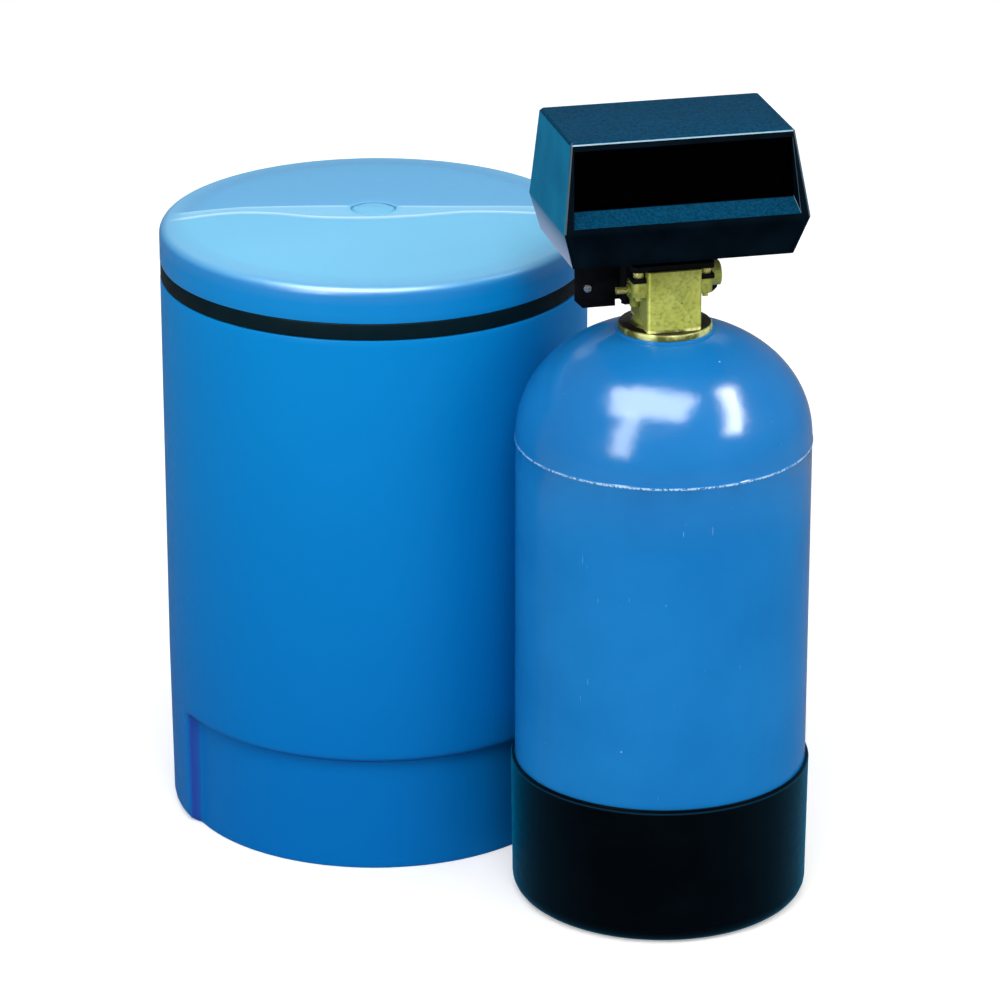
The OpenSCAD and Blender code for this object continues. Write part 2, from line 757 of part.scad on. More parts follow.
module program_wheel() {
    color([0.88, 0.88, 0.85]) at_valve() translate([program_c[0], 0, program_c[1]]) {
        translate([0, timer_y - 2, 0]) rotate([90, 0, 0]) linear_extrude(5) difference() {
            circle(r = 16);
            for (a = [0, 70, 120, 200, 260]) rotate(a) translate([16, 0]) circle(r = 2);
        }
        along_y(5, dial_y + 6, timer_y - 2 - dial_y - 6);
        pivot(dial_y + 6);
    }
}

module regeneration_knob() {
    color([0.07, 0.07, 0.08]) at_valve() translate([program_c[0], 0, program_c[1]]) {
        translate([0, dial_y + 6, 0]) rotate([90, 0, 0]) difference() {
            cylinder(r1 = 10.5, r2 = 9.5, h = 8);
            for (i = [0:11]) rotate([0, 0, 30 * i]) translate([11.3, 0, -1]) cylinder(r = 1.6, h = 12);
            translate([0, 0, 6]) difference() {
                cylinder(r = 8.2, h = 4);
                translate([-2, -9, -1]) cube([4, 18, 6]);
            }
        }
    }
}

module micro_switches() {
    color([0.08, 0.08, 0.09]) at_valve() for (x = [50, 66]) translate([x, timer_y + timer_t, 616]) {
        difference() {
            cube([7, 16, 10]);
            for (y = [3, 13]) translate([-1, y, 3]) rotate([0, 90, 0]) cylinder(r = 1.2, h = 9);
        }
        translate([2, 6, 9.9]) cube([3, 3, 1.6]);
        for (y = [2, 7, 12]) translate([3, y, -4]) cube([1, 2, 4.1]);
    }
}

module cable_gland() {
    color([0.06, 0.06, 0.07]) at_valve() translate([gland_x, 0, gland_z]) difference() {
        union() {
            along_y(6.9, rear_face - 4, 8);
            translate([0, rear_face + plate_t, 0]) rotate([-90, 0, 0]) cylinder(r = 9.5, h = 4, $fn = 6);
            along_y(7.4, rear_face + plate_t + 3.9, 9);
            translate([0, rear_face - 4.5, 0]) rotate([-90, 0, 0]) cylinder(r = 8.6, h = 4.5, $fn = 6);
        }
        along_y(3.6, rear_face - 6, 26);
    }
}

// One level of the cover: a thin rounded slab between a front and a back
module cover_level(z, half, front, back, r) {
    translate([0, 0, z]) linear_extrude(0.02) for (sx = [-1, 1], y = [-front + r, back - r])
        translate([sx * (half - r), y]) circle(r = r, $fn = 32);
}

// The cover's solid form, drawn in by a wall
module cover_form(t) {
    waist = [half_waist - t, front_waist - t, back_waist - t];
    hull() {
        cover_level(cover_top - t - 0.02, half_top - t - 2.2, front_top - t - 2.2, back_top - t - 2.2, 2.4);
        cover_level(cover_top - t - 2.2, half_top - t, front_top - t, back_top - t, cover_edge);
        cover_level(cover_waist + 1.2, waist[0] - 0.2, waist[1] - 0.2, waist[2] - 0.2, cover_edge);
    }
    hull() {
        cover_level(cover_waist + 1.2, waist[0] - 0.2, waist[1] - 0.2, waist[2] - 0.2, cover_edge);
        cover_level(cover_waist - 1.2, waist[0], waist[1], waist[2], cover_edge);
    }
    hull() {
        cover_level(cover_waist - 1.2, waist[0], waist[1], waist[2], cover_edge);
        cover_level(cover_low - (t > 0 ? 1 : 0), half_low - t, front_low - t, back_low - t, cover_edge);
    }
}

// Half width of the window niche at a height: its sides lean with the cover's
function niche_half(z) = niche_top_w + (niche_low_w - niche_top_w) * (niche_z - z) / (niche_z - sill_z);

// The window niche, cut back to the glass; its inner wall runs out to the cover's sides
module window_niche(back_y, grow) {
    low = sill_z - grow;
    high = niche_z + grow;
    side = 3 * grow;
    intersection() {
        rotate([90, 0, 90]) linear_extrude(3 * half_waist, center = true) polygon([
            [back_y, high], [-90, high], [-90, low], [-66.5, low], [back_y, shelf_z - grow]
        ]);
        rotate([90, 0, 0]) linear_extrude(100) polygon([
            [-niche_half(low) - side, low], [niche_half(low) + side, low],
            [niche_half(high) + side, high], [-niche_half(high) - side, high]
        ]);
    }
}

module head_cover() {
    color([0.05, 0.09, 0.13]) at_valve() difference() {
        cover_form(0);
        difference() {
            cover_form(cover_wall);
            window_niche(glass_y + 2.5, 2.5);
            // Ribs under the roof that stand on the back plate
            for (x = [-60, 60]) translate([x - 5, rear_face - 3, 700.05]) cube([10, 9, 12]);
        }
        window_niche(glass_y, 0);
        // The opening that the pane covers
        translate([-88, glass_y - 1, shelf_z + 4]) cube([176, 6, 46]);
    }
}

module cover_window() {
    pane_t = 1.6;
    low = shelf_z + 1;
    high = niche_z - pane_gap;
    color([0.01, 0.012, 0.015]) at_valve()
    translate([0, glass_y, 0]) rotate([90, 0, 0]) linear_extrude(pane_t) polygon([
        [-niche_half(low) + pane_gap, low], [niche_half(low) - pane_gap, low],
        [niche_half(high) - pane_gap, high], [-niche_half(high) + pane_gap, high]
    ]);
}

// BRINE SIDE

// The tank's outline of revolution, drawn in by a wall; the rim steps in for the band
module brine_profile(t) {
    step = 4.2;
    r = brine_r - t;
    low = t > 0 ? floor_t : 0;
    corner = t > 0 ? floor_t + 2 : 2.6;
    top = t > 0 ? band_top + 1 : band_top;
    polygon([
        [0, low], [r - 9, low], [r - 3.5, corner], [r - 1.5, 9], [r, 150], [r, band_low - 1.5 - t],
        [r - step, band_low - t], [r - step, top], [0, top]
    ]);
}

// The space in front of the recessed foot, grown by a wall
module foot_recess(t) {
    rotate([0, 0, recess_mid - recess_half - (t > 0 ? 1.2 : 0)])
        rotate_extrude(angle = 2 * recess_half + (t > 0 ? 2.4 : 0), $fn = 128)
        polygon([[foot_r - t, -1], [foot_r - t, ledge_z - 7], [brine_r + 3, ledge_z + t], [brine_r + 3, -1]]);
}

module brine_tank() {
    color([0, 0.41, 0.71]) at_brine() difference() {
        rotate_extrude($fn = 128) brine_profile(0);
        foot_recess(0);
        difference() {
            rotate_extrude($fn = 128) brine_profile(brine_wall);
            foot_recess(brine_wall);
        }
        // Holes for the brine line and the overflow
        rotate([0, 0, well_turn]) translate([0, 0, bulkhead_z]) along_x(8, brine_r - 20, 30);
        rotate([0, 0, 120]) translate([0, 0, overflow_z]) along_x(13, brine_r - 20, 30);
    }
}

module rim_band() {
    color([0.03, 0.04, 0.05]) at_brine() rotate_extrude($fn = 128) polygon([
        [brine_r - 4.2, band_low + 0.1], [brine_r - 0.9, band_low + 0.1], [brine_r - 0.3, band_low + 0.8],
        [brine_r - 0.3, band_top - 0.7], [brine_r - 0.9, band_top], [brine_r - 4.2, band_top]
    ]);
}

// The lid's crown from the rim's shoulder to the middle, and its upper line with the shoulder
function lid_crown(t) = [
    for (i = [1:8]) let (u = i / 8)
        [(brine_r - lid_edge) * (1 - u), lid_rim - t + (lid_top - lid_rim) * (1 - (1 - u) * (1 - u))]
];
function lid_line() = concat(
    [for (i = [0:5]) [brine_r - lid_edge * (1 - cos(15 * i)), lid_rim - lid_edge * (1 - sin(15 * i))]],
    lid_crown(0)
);

module tank_lid() {
    wall = 4;
    color([0.45, 0.75, 0.92]) at_brine() difference() {
        union() {
            rotate_extrude($fn = 128) polygon(concat(
                [[brine_r - 12, band_top - 9], [brine_r - 10, band_top - 10], [brine_r - 8.8, band_top - 9],
                 [brine_r - 8.8, band_top + 0.1], [brine_r - 0.8, band_top + 0.1], [brine_r, band_top + 1]],
                lid_line(), [for (i = [7:-1:0]) lid_crown(wall)[i]],
                [[brine_r - 12, lid_rim - lid_edge + 3]]
            ));
            // The raised line across the lid
            intersection() {
                rotate_extrude($fn = 128)
                    polygon(concat([for (q = lid_line()) [q[0], q[1] + crease_h]], [[0, 550], [150, 550]]));
                rotate([0, 0, crease_turn]) translate([-178, -2.2, 540]) cube([356, 4.4, 40]);
            }
        }
        // Round dimple at the middle
        translate([0, 0, lid_top - 1.6]) cylinder(r = 20.5, h = 5);
    }
    color([0.45, 0.75, 0.92]) at_brine()
    translate([0, 0, lid_top - 1.7]) cylinder(r1 = 17.5, r2 = 16.8, h = 1.2);
}

module brine_well() {
    color([0.85, 0.86, 0.86]) at_well() difference() {
        ring(well_r, well_r - well_wall, floor_t, well_top - floor_t);
        // Inlet slots at the foot and the brine line's hole
        for (i = [0:11]) rotate([0, 0, 30 * i + 15]) translate([well_r - 6, -1.5, 20]) cube([12, 3, 40]);
        translate([0, 0, bulkhead_z]) along_x(6.5, well_r - 10, 20);
    }
}

module well_cap() {
    color([0.12, 0.13, 0.14]) at_well() difference() {
        union() {
            translate([0, 0, well_top]) cylinder(r = well_r + 3.5, h = 3);
            ring(well_r + 3.5, well_r + 0.4, well_top - 14, 14.1);
            translate([-14, -2, well_top + 2.9]) cube([28, 4, 8]);
        }
    }
}

module air_check() {
    color([0.88, 0.88, 0.84]) at_well() translate([line_out, 0, 0]) difference() {
        union() {
            translate([0, 0, 12]) cylinder(r = 13, h = 44);
            translate([0, 0, 56]) cylinder(r1 = 13, r2 = 7, h = 6);
            ring(15, 12, 8, 6);
            for (i = [0:3]) rotate([0, 0, 90 * i + 45]) translate([11, -1.5, floor_t]) cube([4, 3, 6]);
        }
        translate([0, 0, 15]) cylinder(r = 10.5, h = 38);
        translate([0, 0, 50]) cylinder(r = 3.4, h = 20);
        for (i = [0:7]) rotate([0, 0, 45 * i]) translate([8, -0.8, 20]) cube([8, 1.6, 26]);
    }
}

module pickup_tube() {
    color([0.92, 0.93, 0.94]) at_well() {
        translate([line_out, 0, 0]) ring(line_r, 3.2, 62, 14);
        difference() {
            union() {
                translate([line_out, 0, 96]) cylinder(r = line_r, h = bulkhead_z - 96);
                translate([line_out, 0, bulkhead_z]) sphere(r = line_r);
                translate([0, 0, bulkhead_z]) along_x(line_r, line_out, well_r - well_wall - 1 - line_out);
            }
            translate([line_out, 0, 90]) cylinder(r = 3.2, h = bulkhead_z - 90);
            translate([0, 0, bulkhead_z]) along_x(3.2, line_out - 2, 40);
        }
    }
}

module safety_valve() {
    color([0.2, 0.22, 0.24]) at_well() difference() {
        union() {
            translate([line_out, 0, 76]) cylinder(r = 11, h = 20);
            translate([-26, -7, 78]) cube([46, 14, 14]);
            translate([-line_out, 0, 76]) cylinder(r = 7, h = 18);
        }
        translate([line_out, 0, 70]) cylinder(r = 3.2, h = 30);
        translate([-line_out, 0, 70]) cylinder(r = 2.5 + run_gap, h = 30);
    }
}

module float_rod() {
    color([0.8, 0.81, 0.82]) at_well() translate([-line_out, 0, 40]) cylinder(r = 2.5, h = 400);
}

module float() {
    color([0.9, 0.55, 0.2]) at_well() translate([-line_out, 0, 0]) difference() {
        union() {
            translate([0, 0, 300]) cylinder(r1 = 18, r2 = 22, h = 5);
            translate([0, 0, 305]) cylinder(r = 22, h = 50);
            translate([0, 0, 355]) cylinder(r1 = 22, r2 = 18, h = 5);
            ring(6, 2.5, 292, 8.1);
            ring(6, 2.5, 359.9, 8);
        }
        translate([0, 0, 280]) cylinder(r = 2.5, h = 100);
    }
}

module salt_grid() {
    r = foot_r - brine_wall - 3;
    pitch = 26;
    color([0.9, 0.9, 0.88]) at_brine() difference() {
        union() {
            translate([0, 0, grid_z]) cylinder(r = r, h = 5, $fn = 96);
            ring(r, r - 3, grid_z - 12, 12.1);
            for (a = [0, 120, 180, 240, 300]) rotate([0, 0, a]) translate([118, 0, floor_t]) difference() {
                cylinder(r = 14, h = grid_z - floor_t + 0.1);
                translate([0, 0, -1]) cylinder(r = 11.5, h = grid_z - floor_t - 2);
            }
        }
        translate([well_pos[0], well_pos[1], grid_z - 20]) cylinder(r = well_r + 1.5, h = 40);
        for (i = [-6:6], j = [-6:6]) let (x = pitch * (i + (j % 2 == 0 ? 0 : 0.5)), y = pitch * 0.866 * j)
            if (norm([x, y]) < r - 12 && norm([x - well_pos[0], y - well_pos[1]]) > well_r + 10)
                translate([x, y, grid_z - 1]) cylinder(r = 5, h = 7, $fn = 16);
    }
}

module brine_bulkhead() {
    wall_x = brine_r - brine_wall;
    color([0.9, 0.91, 0.9]) at_brine() rotate([0, 0, well_turn]) translate([0, 0, bulkhead_z]) difference() {
        union() {
            along_x(line_r, well_out + well_r - well_wall - 1, brine_r + 17 - well_out - well_r + well_wall);
            along_x(7.9, wall_x - 2, 9);
            translate([brine_r + 1, 0, 0]) rotate([0, 90, 0]) cylinder(r = 11, h = 7, $fn = 6);
            translate([wall_x - 7, 0, 0]) rotate([0, 90, 0]) cylinder(r = 11, h = 5.5, $fn = 6);
        }
        along_x(3.2, 80, 180);
    }
}

module overflow_fitting() {
    color([0.12, 0.12, 0.13]) at_brine() rotate([0, 0, 120]) translate([0, 0, overflow_z]) difference() {
        union() {
            along_x(12.9, brine_r - brine_wall - 4, 12);
            translate([brine_r + 0.6, 0, 0]) rotate([0, 90, 0]) cylinder(r = 18, h = 4);
            translate([brine_r - brine_wall - 9, 0, 0]) rotate([0, 90, 0]) cylinder(r = 18, h = 6, $fn = 6);
            // Elbow that turns down to the hose barb
            along_x(10, brine_r + 4, 14);
            translate([brine_r + 18, 0, 0]) sphere(r = 10);
            translate([brine_r + 18, 0, -34]) cylinder(r = 8.4, h = 34);
            for (z = [-34, -27, -20]) translate([brine_r + 18, 0, z]) cylinder(r1 = 8.2, r2 = 9.6, h = 5);
        }
        along_x(6.5, brine_r - 20, 38);
        translate([brine_r + 18, 0, -40]) cylinder(r = 6.5, h = 40);
    }
}

tank_boot();
resin_tank();
riser_tube();
lower_distributor();
upper_distributor();
gravel_bed();
resin_bed();
tank_o_ring();
valve_body();
spacer_rings();
piston_seals();
piston();
piston_rod();
rod_link();
end_plug();
mounting_plate();
cap_screws();
injector_body();
injector_nozzle();
injector_screws();
brine_valve_body();
brine_valve_stem();
brine_valve_spring();
brine_line_tube();
drain_fitting();
flow_washer();
port_yoke();
yoke_screws();
back_plate();
bracket_screw();
drive_motor();
motor_pinion();
gear_stud();
drive_gear();
stand_offs();
timer_plate();
timer_motor();
timer_pinion();
day_dial();
skipper_wheel();
program_wheel();
regeneration_knob();
micro_switches();
cable_gland();
head_cover();
cover_window();
brine_tank();
rim_band();
tank_lid();
brine_well();
well_cap();
air_check();
pickup_tube();
safety_valve();
float_rod();
float();
salt_grid();
brine_bulkhead();
overflow_fitting();
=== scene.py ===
import math

import bmesh
import bpy
from mathutils import Matrix, Quaternion, Vector, noise


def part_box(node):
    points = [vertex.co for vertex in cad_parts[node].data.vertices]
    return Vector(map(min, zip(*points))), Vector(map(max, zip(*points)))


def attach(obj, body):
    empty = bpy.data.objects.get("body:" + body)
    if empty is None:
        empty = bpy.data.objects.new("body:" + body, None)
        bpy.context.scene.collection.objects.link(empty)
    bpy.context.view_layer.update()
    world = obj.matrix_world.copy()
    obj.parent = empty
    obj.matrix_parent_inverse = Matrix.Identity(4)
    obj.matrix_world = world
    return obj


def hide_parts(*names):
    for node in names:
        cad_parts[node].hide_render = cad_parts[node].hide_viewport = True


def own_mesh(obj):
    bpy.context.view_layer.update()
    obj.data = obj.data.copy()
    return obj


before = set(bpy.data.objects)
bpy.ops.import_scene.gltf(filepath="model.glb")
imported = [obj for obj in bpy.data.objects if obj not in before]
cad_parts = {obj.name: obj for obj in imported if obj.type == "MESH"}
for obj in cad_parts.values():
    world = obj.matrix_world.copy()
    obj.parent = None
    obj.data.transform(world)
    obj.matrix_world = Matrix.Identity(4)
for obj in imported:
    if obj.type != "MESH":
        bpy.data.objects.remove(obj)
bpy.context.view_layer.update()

MM = 0.001


# The stage: a pale floor, soft studio light and the camera at the photograph's viewing angle.
# None of it is part of the object.
scene = bpy.context.scene
scene.view_settings.view_transform = "Standard"


def shader_tree(name):
    """A new material, with its node tree and its shader."""
    material = bpy.data.materials.new(name)
    material.use_nodes = True
    tree = material.node_tree
    return material, tree, tree.nodes["Principled BSDF"]


def add_object(name, bm):
    """The bmesh as a new object of the scene."""
    mesh = bpy.data.meshes.new(name)
    bm.to_mesh(mesh)
    bm.free()
    obj = bpy.data.objects.new(name, mesh)
    scene.collection.objects.link(obj)
    return obj


def plug(tree, socket, value):
    """Sets a socket to a fixed value, or links it to another node's output."""
    if isinstance(value, (int, float, tuple)):
        socket.default_value = value
    else:
        tree.links.new(value, socket)


def tinted(tree, amount, low, high):
    """A colour between low and high; either may be a colour or another node's output."""
    mix = tree.nodes.new("ShaderNodeMix")
    mix.data_type = "RGBA"
    tree.links.new(amount, mix.inputs["Factor"])
    plug(tree, mix.inputs["A"], low)
    plug(tree, mix.inputs["B"], high)
    return mix.outputs["Result"]


def stepped(tree, value, start, end, low=0.0, high=1.0):
    """A number that runs from low to high while value runs from start to end."""
    span = tree.nodes.new("ShaderNodeMapRange")
    span.inputs["From Min"].default_value = start
    span.inputs["From Max"].default_value = end
    span.inputs["To Min"].default_value = low
    span.inputs["To Max"].default_value = high
    tree.links.new(value, span.inputs["Value"])
    return span.outputs["Result"]


def reckoned(tree, operation, *numbers):
    """The result of a Math node on numbers, which may be other nodes' outputs."""
    node = tree.nodes.new("ShaderNodeMath")
    node.operation = operation
    for socket, number in zip(node.inputs, numbers):
        plug(tree, socket, number)
    return node.outputs[0]


WHITE = (1, 1, 1, 1)
FLOOR_HALF = 14.0
FLOOR_SEEN = (0.9, 0.9, 0.9, 1)
FLOOR_BOUNCE = (0.55, 0.55, 0.55, 1)
FLOOR_GLOSS = (0.3, 0.3, 0.3, 1)
FLOOR_GLOW = 0.32
floor_bm = bmesh.new()
bmesh.ops.create_grid(floor_bm, x_segments=1, y_segments=1, size=FLOOR_HALF)
floor = add_object("studio_floor", floor_bm)
floor_paint, tree, shader = shader_tree("studio_floor_paint")
shader.inputs["Roughness"].default_value = 0.9
shader.inputs["Specular IOR Level"].default_value = 0.0
shader.inputs["Emission Color"].default_value = WHITE
rays = tree.nodes.new("ShaderNodeLightPath")
shade = tinted(tree, rays.outputs["Is Glossy Ray"], FLOOR_BOUNCE, FLOOR_GLOSS)
shade = tinted(tree, rays.outputs["Is Camera Ray"], shade, FLOOR_SEEN)
glow = reckoned(tree, "MULTIPLY", rays.outputs["Is Camera Ray"], FLOOR_GLOW)
tree.links.new(shade, shader.inputs["Base Color"])
tree.links.new(glow, shader.inputs["Emission Strength"])
floor.data.materials.append(floor_paint)

# The room: white where the camera sees it, and softer levels as light and in shiny surfaces
ROOM_LIGHT = 0.62
ROOM_IN_GLOSS = 0.22
world = bpy.data.worlds.new("studio_room")
world.use_nodes = True
scene.world = world
tree = world.node_tree
room = tree.nodes["Background"]
room.inputs["Color"].default_value = WHITE
rays = tree.nodes.new("ShaderNodeLightPath")
level = stepped(tree, rays.outputs["Is Camera Ray"], 0.0, 1.0, ROOM_LIGHT, 1.0)
level = reckoned(tree, "MULTIPLY_ADD", rays.outputs["Is Glossy Ray"], ROOM_IN_GLOSS - ROOM_LIGHT, level)
tree.links.new(level, room.inputs["Strength"])

LAMPS_AIM = Vector((0.0, -0.05, 0.45))


def softbox(name, turn, rise, away, width, height, watts, gloss=True, soft=True, roll=0):
    """A lamp panel that faces the object, turn and rise in degrees, as seen from the object."""
    lamp = bpy.data.lights.new(name, "AREA")
    lamp.shape = "RECTANGLE"
    lamp.size = width
    lamp.size_y = height
    lamp.energy = watts
    obj = bpy.data.objects.new(name, lamp)
    scene.collection.objects.link(obj)
    a, e = math.radians(turn), math.radians(rise)
    out = Vector((math.cos(a) * math.cos(e), math.sin(a) * math.cos(e), math.sin(e)))
    obj.location = LAMPS_AIM + away * out
    facing = (-out).to_track_quat("-Z", "Y") @ Quaternion((0, 0, 1), math.radians(roll))
    obj.rotation_euler = facing.to_euler()
    obj.visible_camera = False
    obj.visible_glossy = gloss
    obj.visible_diffuse = soft


# Four lamps give the soft light, and four panels give only highlights
softbox("key_light", -112, 48, 3.6, 2.6, 2.0, 78, gloss=False)
softbox("side_light", -25, 30, 3.6, 1.2, 2.0, 26, gloss=False)
softbox("left_fill", -152, 12, 3.8, 1.2, 1.2, 15, gloss=False)
softbox("right_fill", -62, 10, 3.8, 1.2, 1.2, 13, gloss=False)
softbox("top_panel", -120, 67, 3.2, 3.1, 1.7, 280, soft=False)
softbox("strip_panel", -31, 40, 3.2, 0.7, 2.5, 160, soft=False, roll=-40)
softbox("low_strip_panel", -136, 30, 3.2, 0.8, 2.7, 92, soft=False)
softbox("back_panel", 80, 33, 3.4, 3.0, 0.95, 9, soft=False)

CAMERA_AT = Vector((-0.9526, -4.0682, 1.9353))
CAMERA_HEADING = Vector((0.2331, 0.9725, 0))
CAMERA_PITCH = math.radians(21.17)
look = CAMERA_HEADING * math.cos(CAMERA_PITCH) - Vector((0, 0, math.sin(CAMERA_PITCH)))
camera_data = bpy.data.cameras.new("photo_camera")
camera_data.lens = 180
camera_data.sensor_width = 36
camera = bpy.data.objects.new("photo_camera", camera_data)
scene.collection.objects.link(camera)
camera.location = CAMERA_AT
camera.rotation_euler = look.to_track_quat("-Z", "Y").to_euler()
scene.camera = camera


# The boot: one cup of black moulded rubber that the round-bottomed resin tank stands in.
# Its rim is rounded, with a thin teal line below it painted on as a painted highlight, and handling has left
# dull patches.
def srgb(r, g, b):
    """A screen colour, 0 to 255, as the shader wants it."""
    shares = [c / 255 for c in (r, g, b)]
    return tuple(s / 12.92 if s < 0.0408 else ((s + 0.055) / 1.055) ** 2.4 for s in shares) + (1,)


def mottle(tree, size, detail=2.0, stretch=(1, 1, 1)):
    """Noise on the object's own coordinates, in patches about size millimetres wide."""
    place = tree.nodes.new("ShaderNodeTexCoord")
    turn = tree.nodes.new("ShaderNodeMapping")
    turn.inputs["Scale"].default_value = [1 / s for s in stretch]
    spots = tree.nodes.new("ShaderNodeTexNoise")
    spots.inputs["Scale"].default_value = 1 / (size * MM)
    spots.inputs["Detail"].default_value = detail
    tree.links.new(place.outputs["Object"], turn.inputs["Vector"])
    tree.links.new(turn.outputs["Vector"], spots.inputs["Vector"])
    return spots.outputs["Fac"]


def times(tree, a, b):
    """The product of two numbers."""
    return reckoned(tree, "MULTIPLY", a, b)


def on_axes(tree, vector):
    """A vector's parts along X, Y and Z."""
    parts = tree.nodes.new("ShaderNodeSeparateXYZ")
    tree.links.new(vector, parts.inputs["Vector"])
    return parts.outputs


def place_on(tree):
    """The place on the object along X, Y and Z, in metres."""
    return on_axes(tree, tree.nodes.new("ShaderNodeTexCoord").outputs["Object"])


def relief(tree, shader, height, depth, under=None):
    """Raises the surface by a height of 0 to 1 times depth in millimetres."""
    bump = tree.nodes.new("ShaderNodeBump")
    bump.inputs["Distance"].default_value = depth * MM
    tree.links.new(height, bump.inputs["Height"])
    if under:
        tree.links.new(under, bump.inputs["Normal"])
    tree.links.new(bump.outputs["Normal"], shader.inputs["Normal"])
    return bump.outputs["Normal"]


def coloured(tree, shader, colour):
    """Gives the shader its colour."""
    tree.links.new(colour, shader.inputs["Base Color"])


def roughened(tree, shader, size, detail, low, high, stretch=(1, 1, 1)):
    """Roughness that runs from low to high, in patches about size millimetres wide."""
    rough = stepped(tree, mottle(tree, size, detail, stretch), 0.3, 0.7, low, high)
    tree.links.new(rough, shader.inputs["Roughness"])


SHARP_TURN = math.radians(38)
FLAT_TURN = math.radians(0.6)
MERGE_WITHIN = 0.002 * MM


def finish_piece(obj, material, body, node):
    """Gives a finished piece its material, smooth shading and body, and hides the CAD node it stands for."""
    obj.data.materials.clear()
    obj.data.materials.append(material)
    obj.data.shade_smooth()
    obj.data.set_sharp_from_angle(angle=SHARP_TURN)
    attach(obj, body)
    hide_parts(node)


def softened(node, width, turn=30):
    """A merged copy of a CAD node's mesh, its sharp edges rounded by width millimetres and marked."""
    bm = bmesh.new()
    bm.from_mesh(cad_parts[node].data)
    highlight_mark = bm.faces.layers.float.new("highlight_edge")
    bmesh.ops.remove_doubles(bm, verts=bm.verts, dist=MERGE_WITHIN)
    bmesh.ops.dissolve_limit(bm, angle_limit=FLAT_TURN, verts=bm.verts, edges=bm.edges)
    sharp = [e for e in bm.edges if len(e.link_faces) == 2 and e.calc_face_angle() > math.radians(turn)]
    rounded = bmesh.ops.bevel(bm, geom=sharp, offset=width * MM, offset_type="OFFSET", segments=2,
                              profile=0.5, affect="EDGES", material=-1, clamp_overlap=True)
    for face in rounded["faces"]:
        face[highlight_mark] = 1.0
    return bm


def rounded_piece(name, node, width, material, body="frame"):
    """A finished piece: a CAD node with its edges rounded by width millimetres."""
    obj = add_object(name, softened(node, width))
    finish_piece(obj, material, body, node)
    return obj


def middle(node):
    """The middle of a CAD node's box."""
    low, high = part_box(node)
    return (low + high) / 2


def rounded_about(obj, axis):
    """Turns the shading normals of an upright round wall straight out from its axis."""
    mesh = obj.data
    normals = [corner.vector.copy() for corner in mesh.corner_normals]
    for face in mesh.polygons:
        for i in face.loop_indices:
            out = mesh.vertices[mesh.loops[i].vertex_index].co - axis
            out.z = 0
            if abs(face.normal.z) < 0.05 and out.length and abs(face.normal.dot(out.normalized())) > 0.995:
                normals[i] = out.normalized() * math.copysign(1, face.normal.dot(out))
    mesh.normals_split_custom_set(normals)


boot_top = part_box("tank_boot")[1].z
boot_rubber, tree, shader = shader_tree("boot_rubber")
height = place_on(tree)["Z"]
# A thin teal band just below the rim is a painted highlight
rim_highlight = times(tree, stepped(tree, height, boot_top - 4.2 * MM, boot_top - 3.4 * MM),
                 stepped(tree, height, boot_top - 1.8 * MM, boot_top - 2.6 * MM))
rubber = tinted(tree, stepped(tree, mottle(tree, 60, 3), 0.35, 0.7), srgb(0, 1, 3), srgb(1, 5, 9))
coloured(tree, shader, tinted(tree, rim_highlight, rubber, srgb(10, 42, 62)))
roughened(tree, shader, 9, 3, 0.34, 0.5)
shader.inputs["Specular IOR Level"].default_value = 0.02
shader.inputs["Sheen Weight"].default_value = 0.6
shader.inputs["Sheen Roughness"].default_value = 0.34
shader.inputs["Sheen Tint"].default_value = srgb(0, 160, 215)
relief(tree, shader, mottle(tree, 1.4, 2), 0.05)
boot = rounded_piece("boot_cup", "tank_boot", 0.5, boot_rubber)
rounded_about(boot, middle("tank_boot"))


# The resin tank: glass fibre wound over a plastic liner and painted blue, with the fibre's fine pebbling.
# The overlap of the shoulder stands proud as a thin seam, where the paint is chipped.
def turned(outline, steps, axis):
    """An outline of (radius, height) in millimetres, spun round the upright axis of a tank."""
    bm = bmesh.new()
    points = [bm.verts.new((r * MM, 0, z * MM)) for r, z in outline]
    edges = [bm.edges.new(pair) for pair in zip(points, points[1:])]
    bmesh.ops.spin(bm, geom=points + edges, cent=(0, 0, 0), axis=(0, 0, 1), angle=2 * math.pi,
                   steps=steps, use_merge=True)
    bmesh.ops.remove_doubles(bm, verts=bm.verts, dist=0.01 * MM)
    bmesh.ops.recalc_face_normals(bm, faces=bm.faces)
    bmesh.ops.translate(bm, verts=bm.verts, vec=(axis.x, axis.y, 0))
    return bm


resin_axis = middle("resin_tank")
TANK_R = 128.5
TANK_WALL = 4.0
TANK_BASE = 12.0
BASE_DOME = 66.0
SEAM_Z = 425.0
SEAM_RISE = 0.7
DOME_H = 102.0
DOME_POWER = 2.1
NECK_R = 36.35
NECK_OUT = 43.0
NECK_TOP = 525.4
NECK_THREAD = 29
SEAL_SEAT_R = NECK_R + 3.65
SEAL_SEAT_Z = NECK_TOP - 2.6


def dome(radius, height, foot, steps, stop):
    """The shoulder's line from its foot up to the radius stop, a slightly squared ellipse."""
    line = []
    for i in range(steps + 1):
        a = math.pi / 2 * i / steps
        r = radius * max(math.cos(a), 0) ** (2 / DOME_POWER)
        if r >= stop:
            line.append((r, foot + height * math.sin(a) ** (2 / DOME_POWER)))
    return line


def bowl(radius, depth, foot, steps):
    """The round bottom's line, from its lowest point up to the straight wall."""
    turns = [math.pi / 2 * i / steps for i in range(steps + 1)]
    return [(radius * math.sin(a), foot - depth * math.cos(a)) for a in turns]


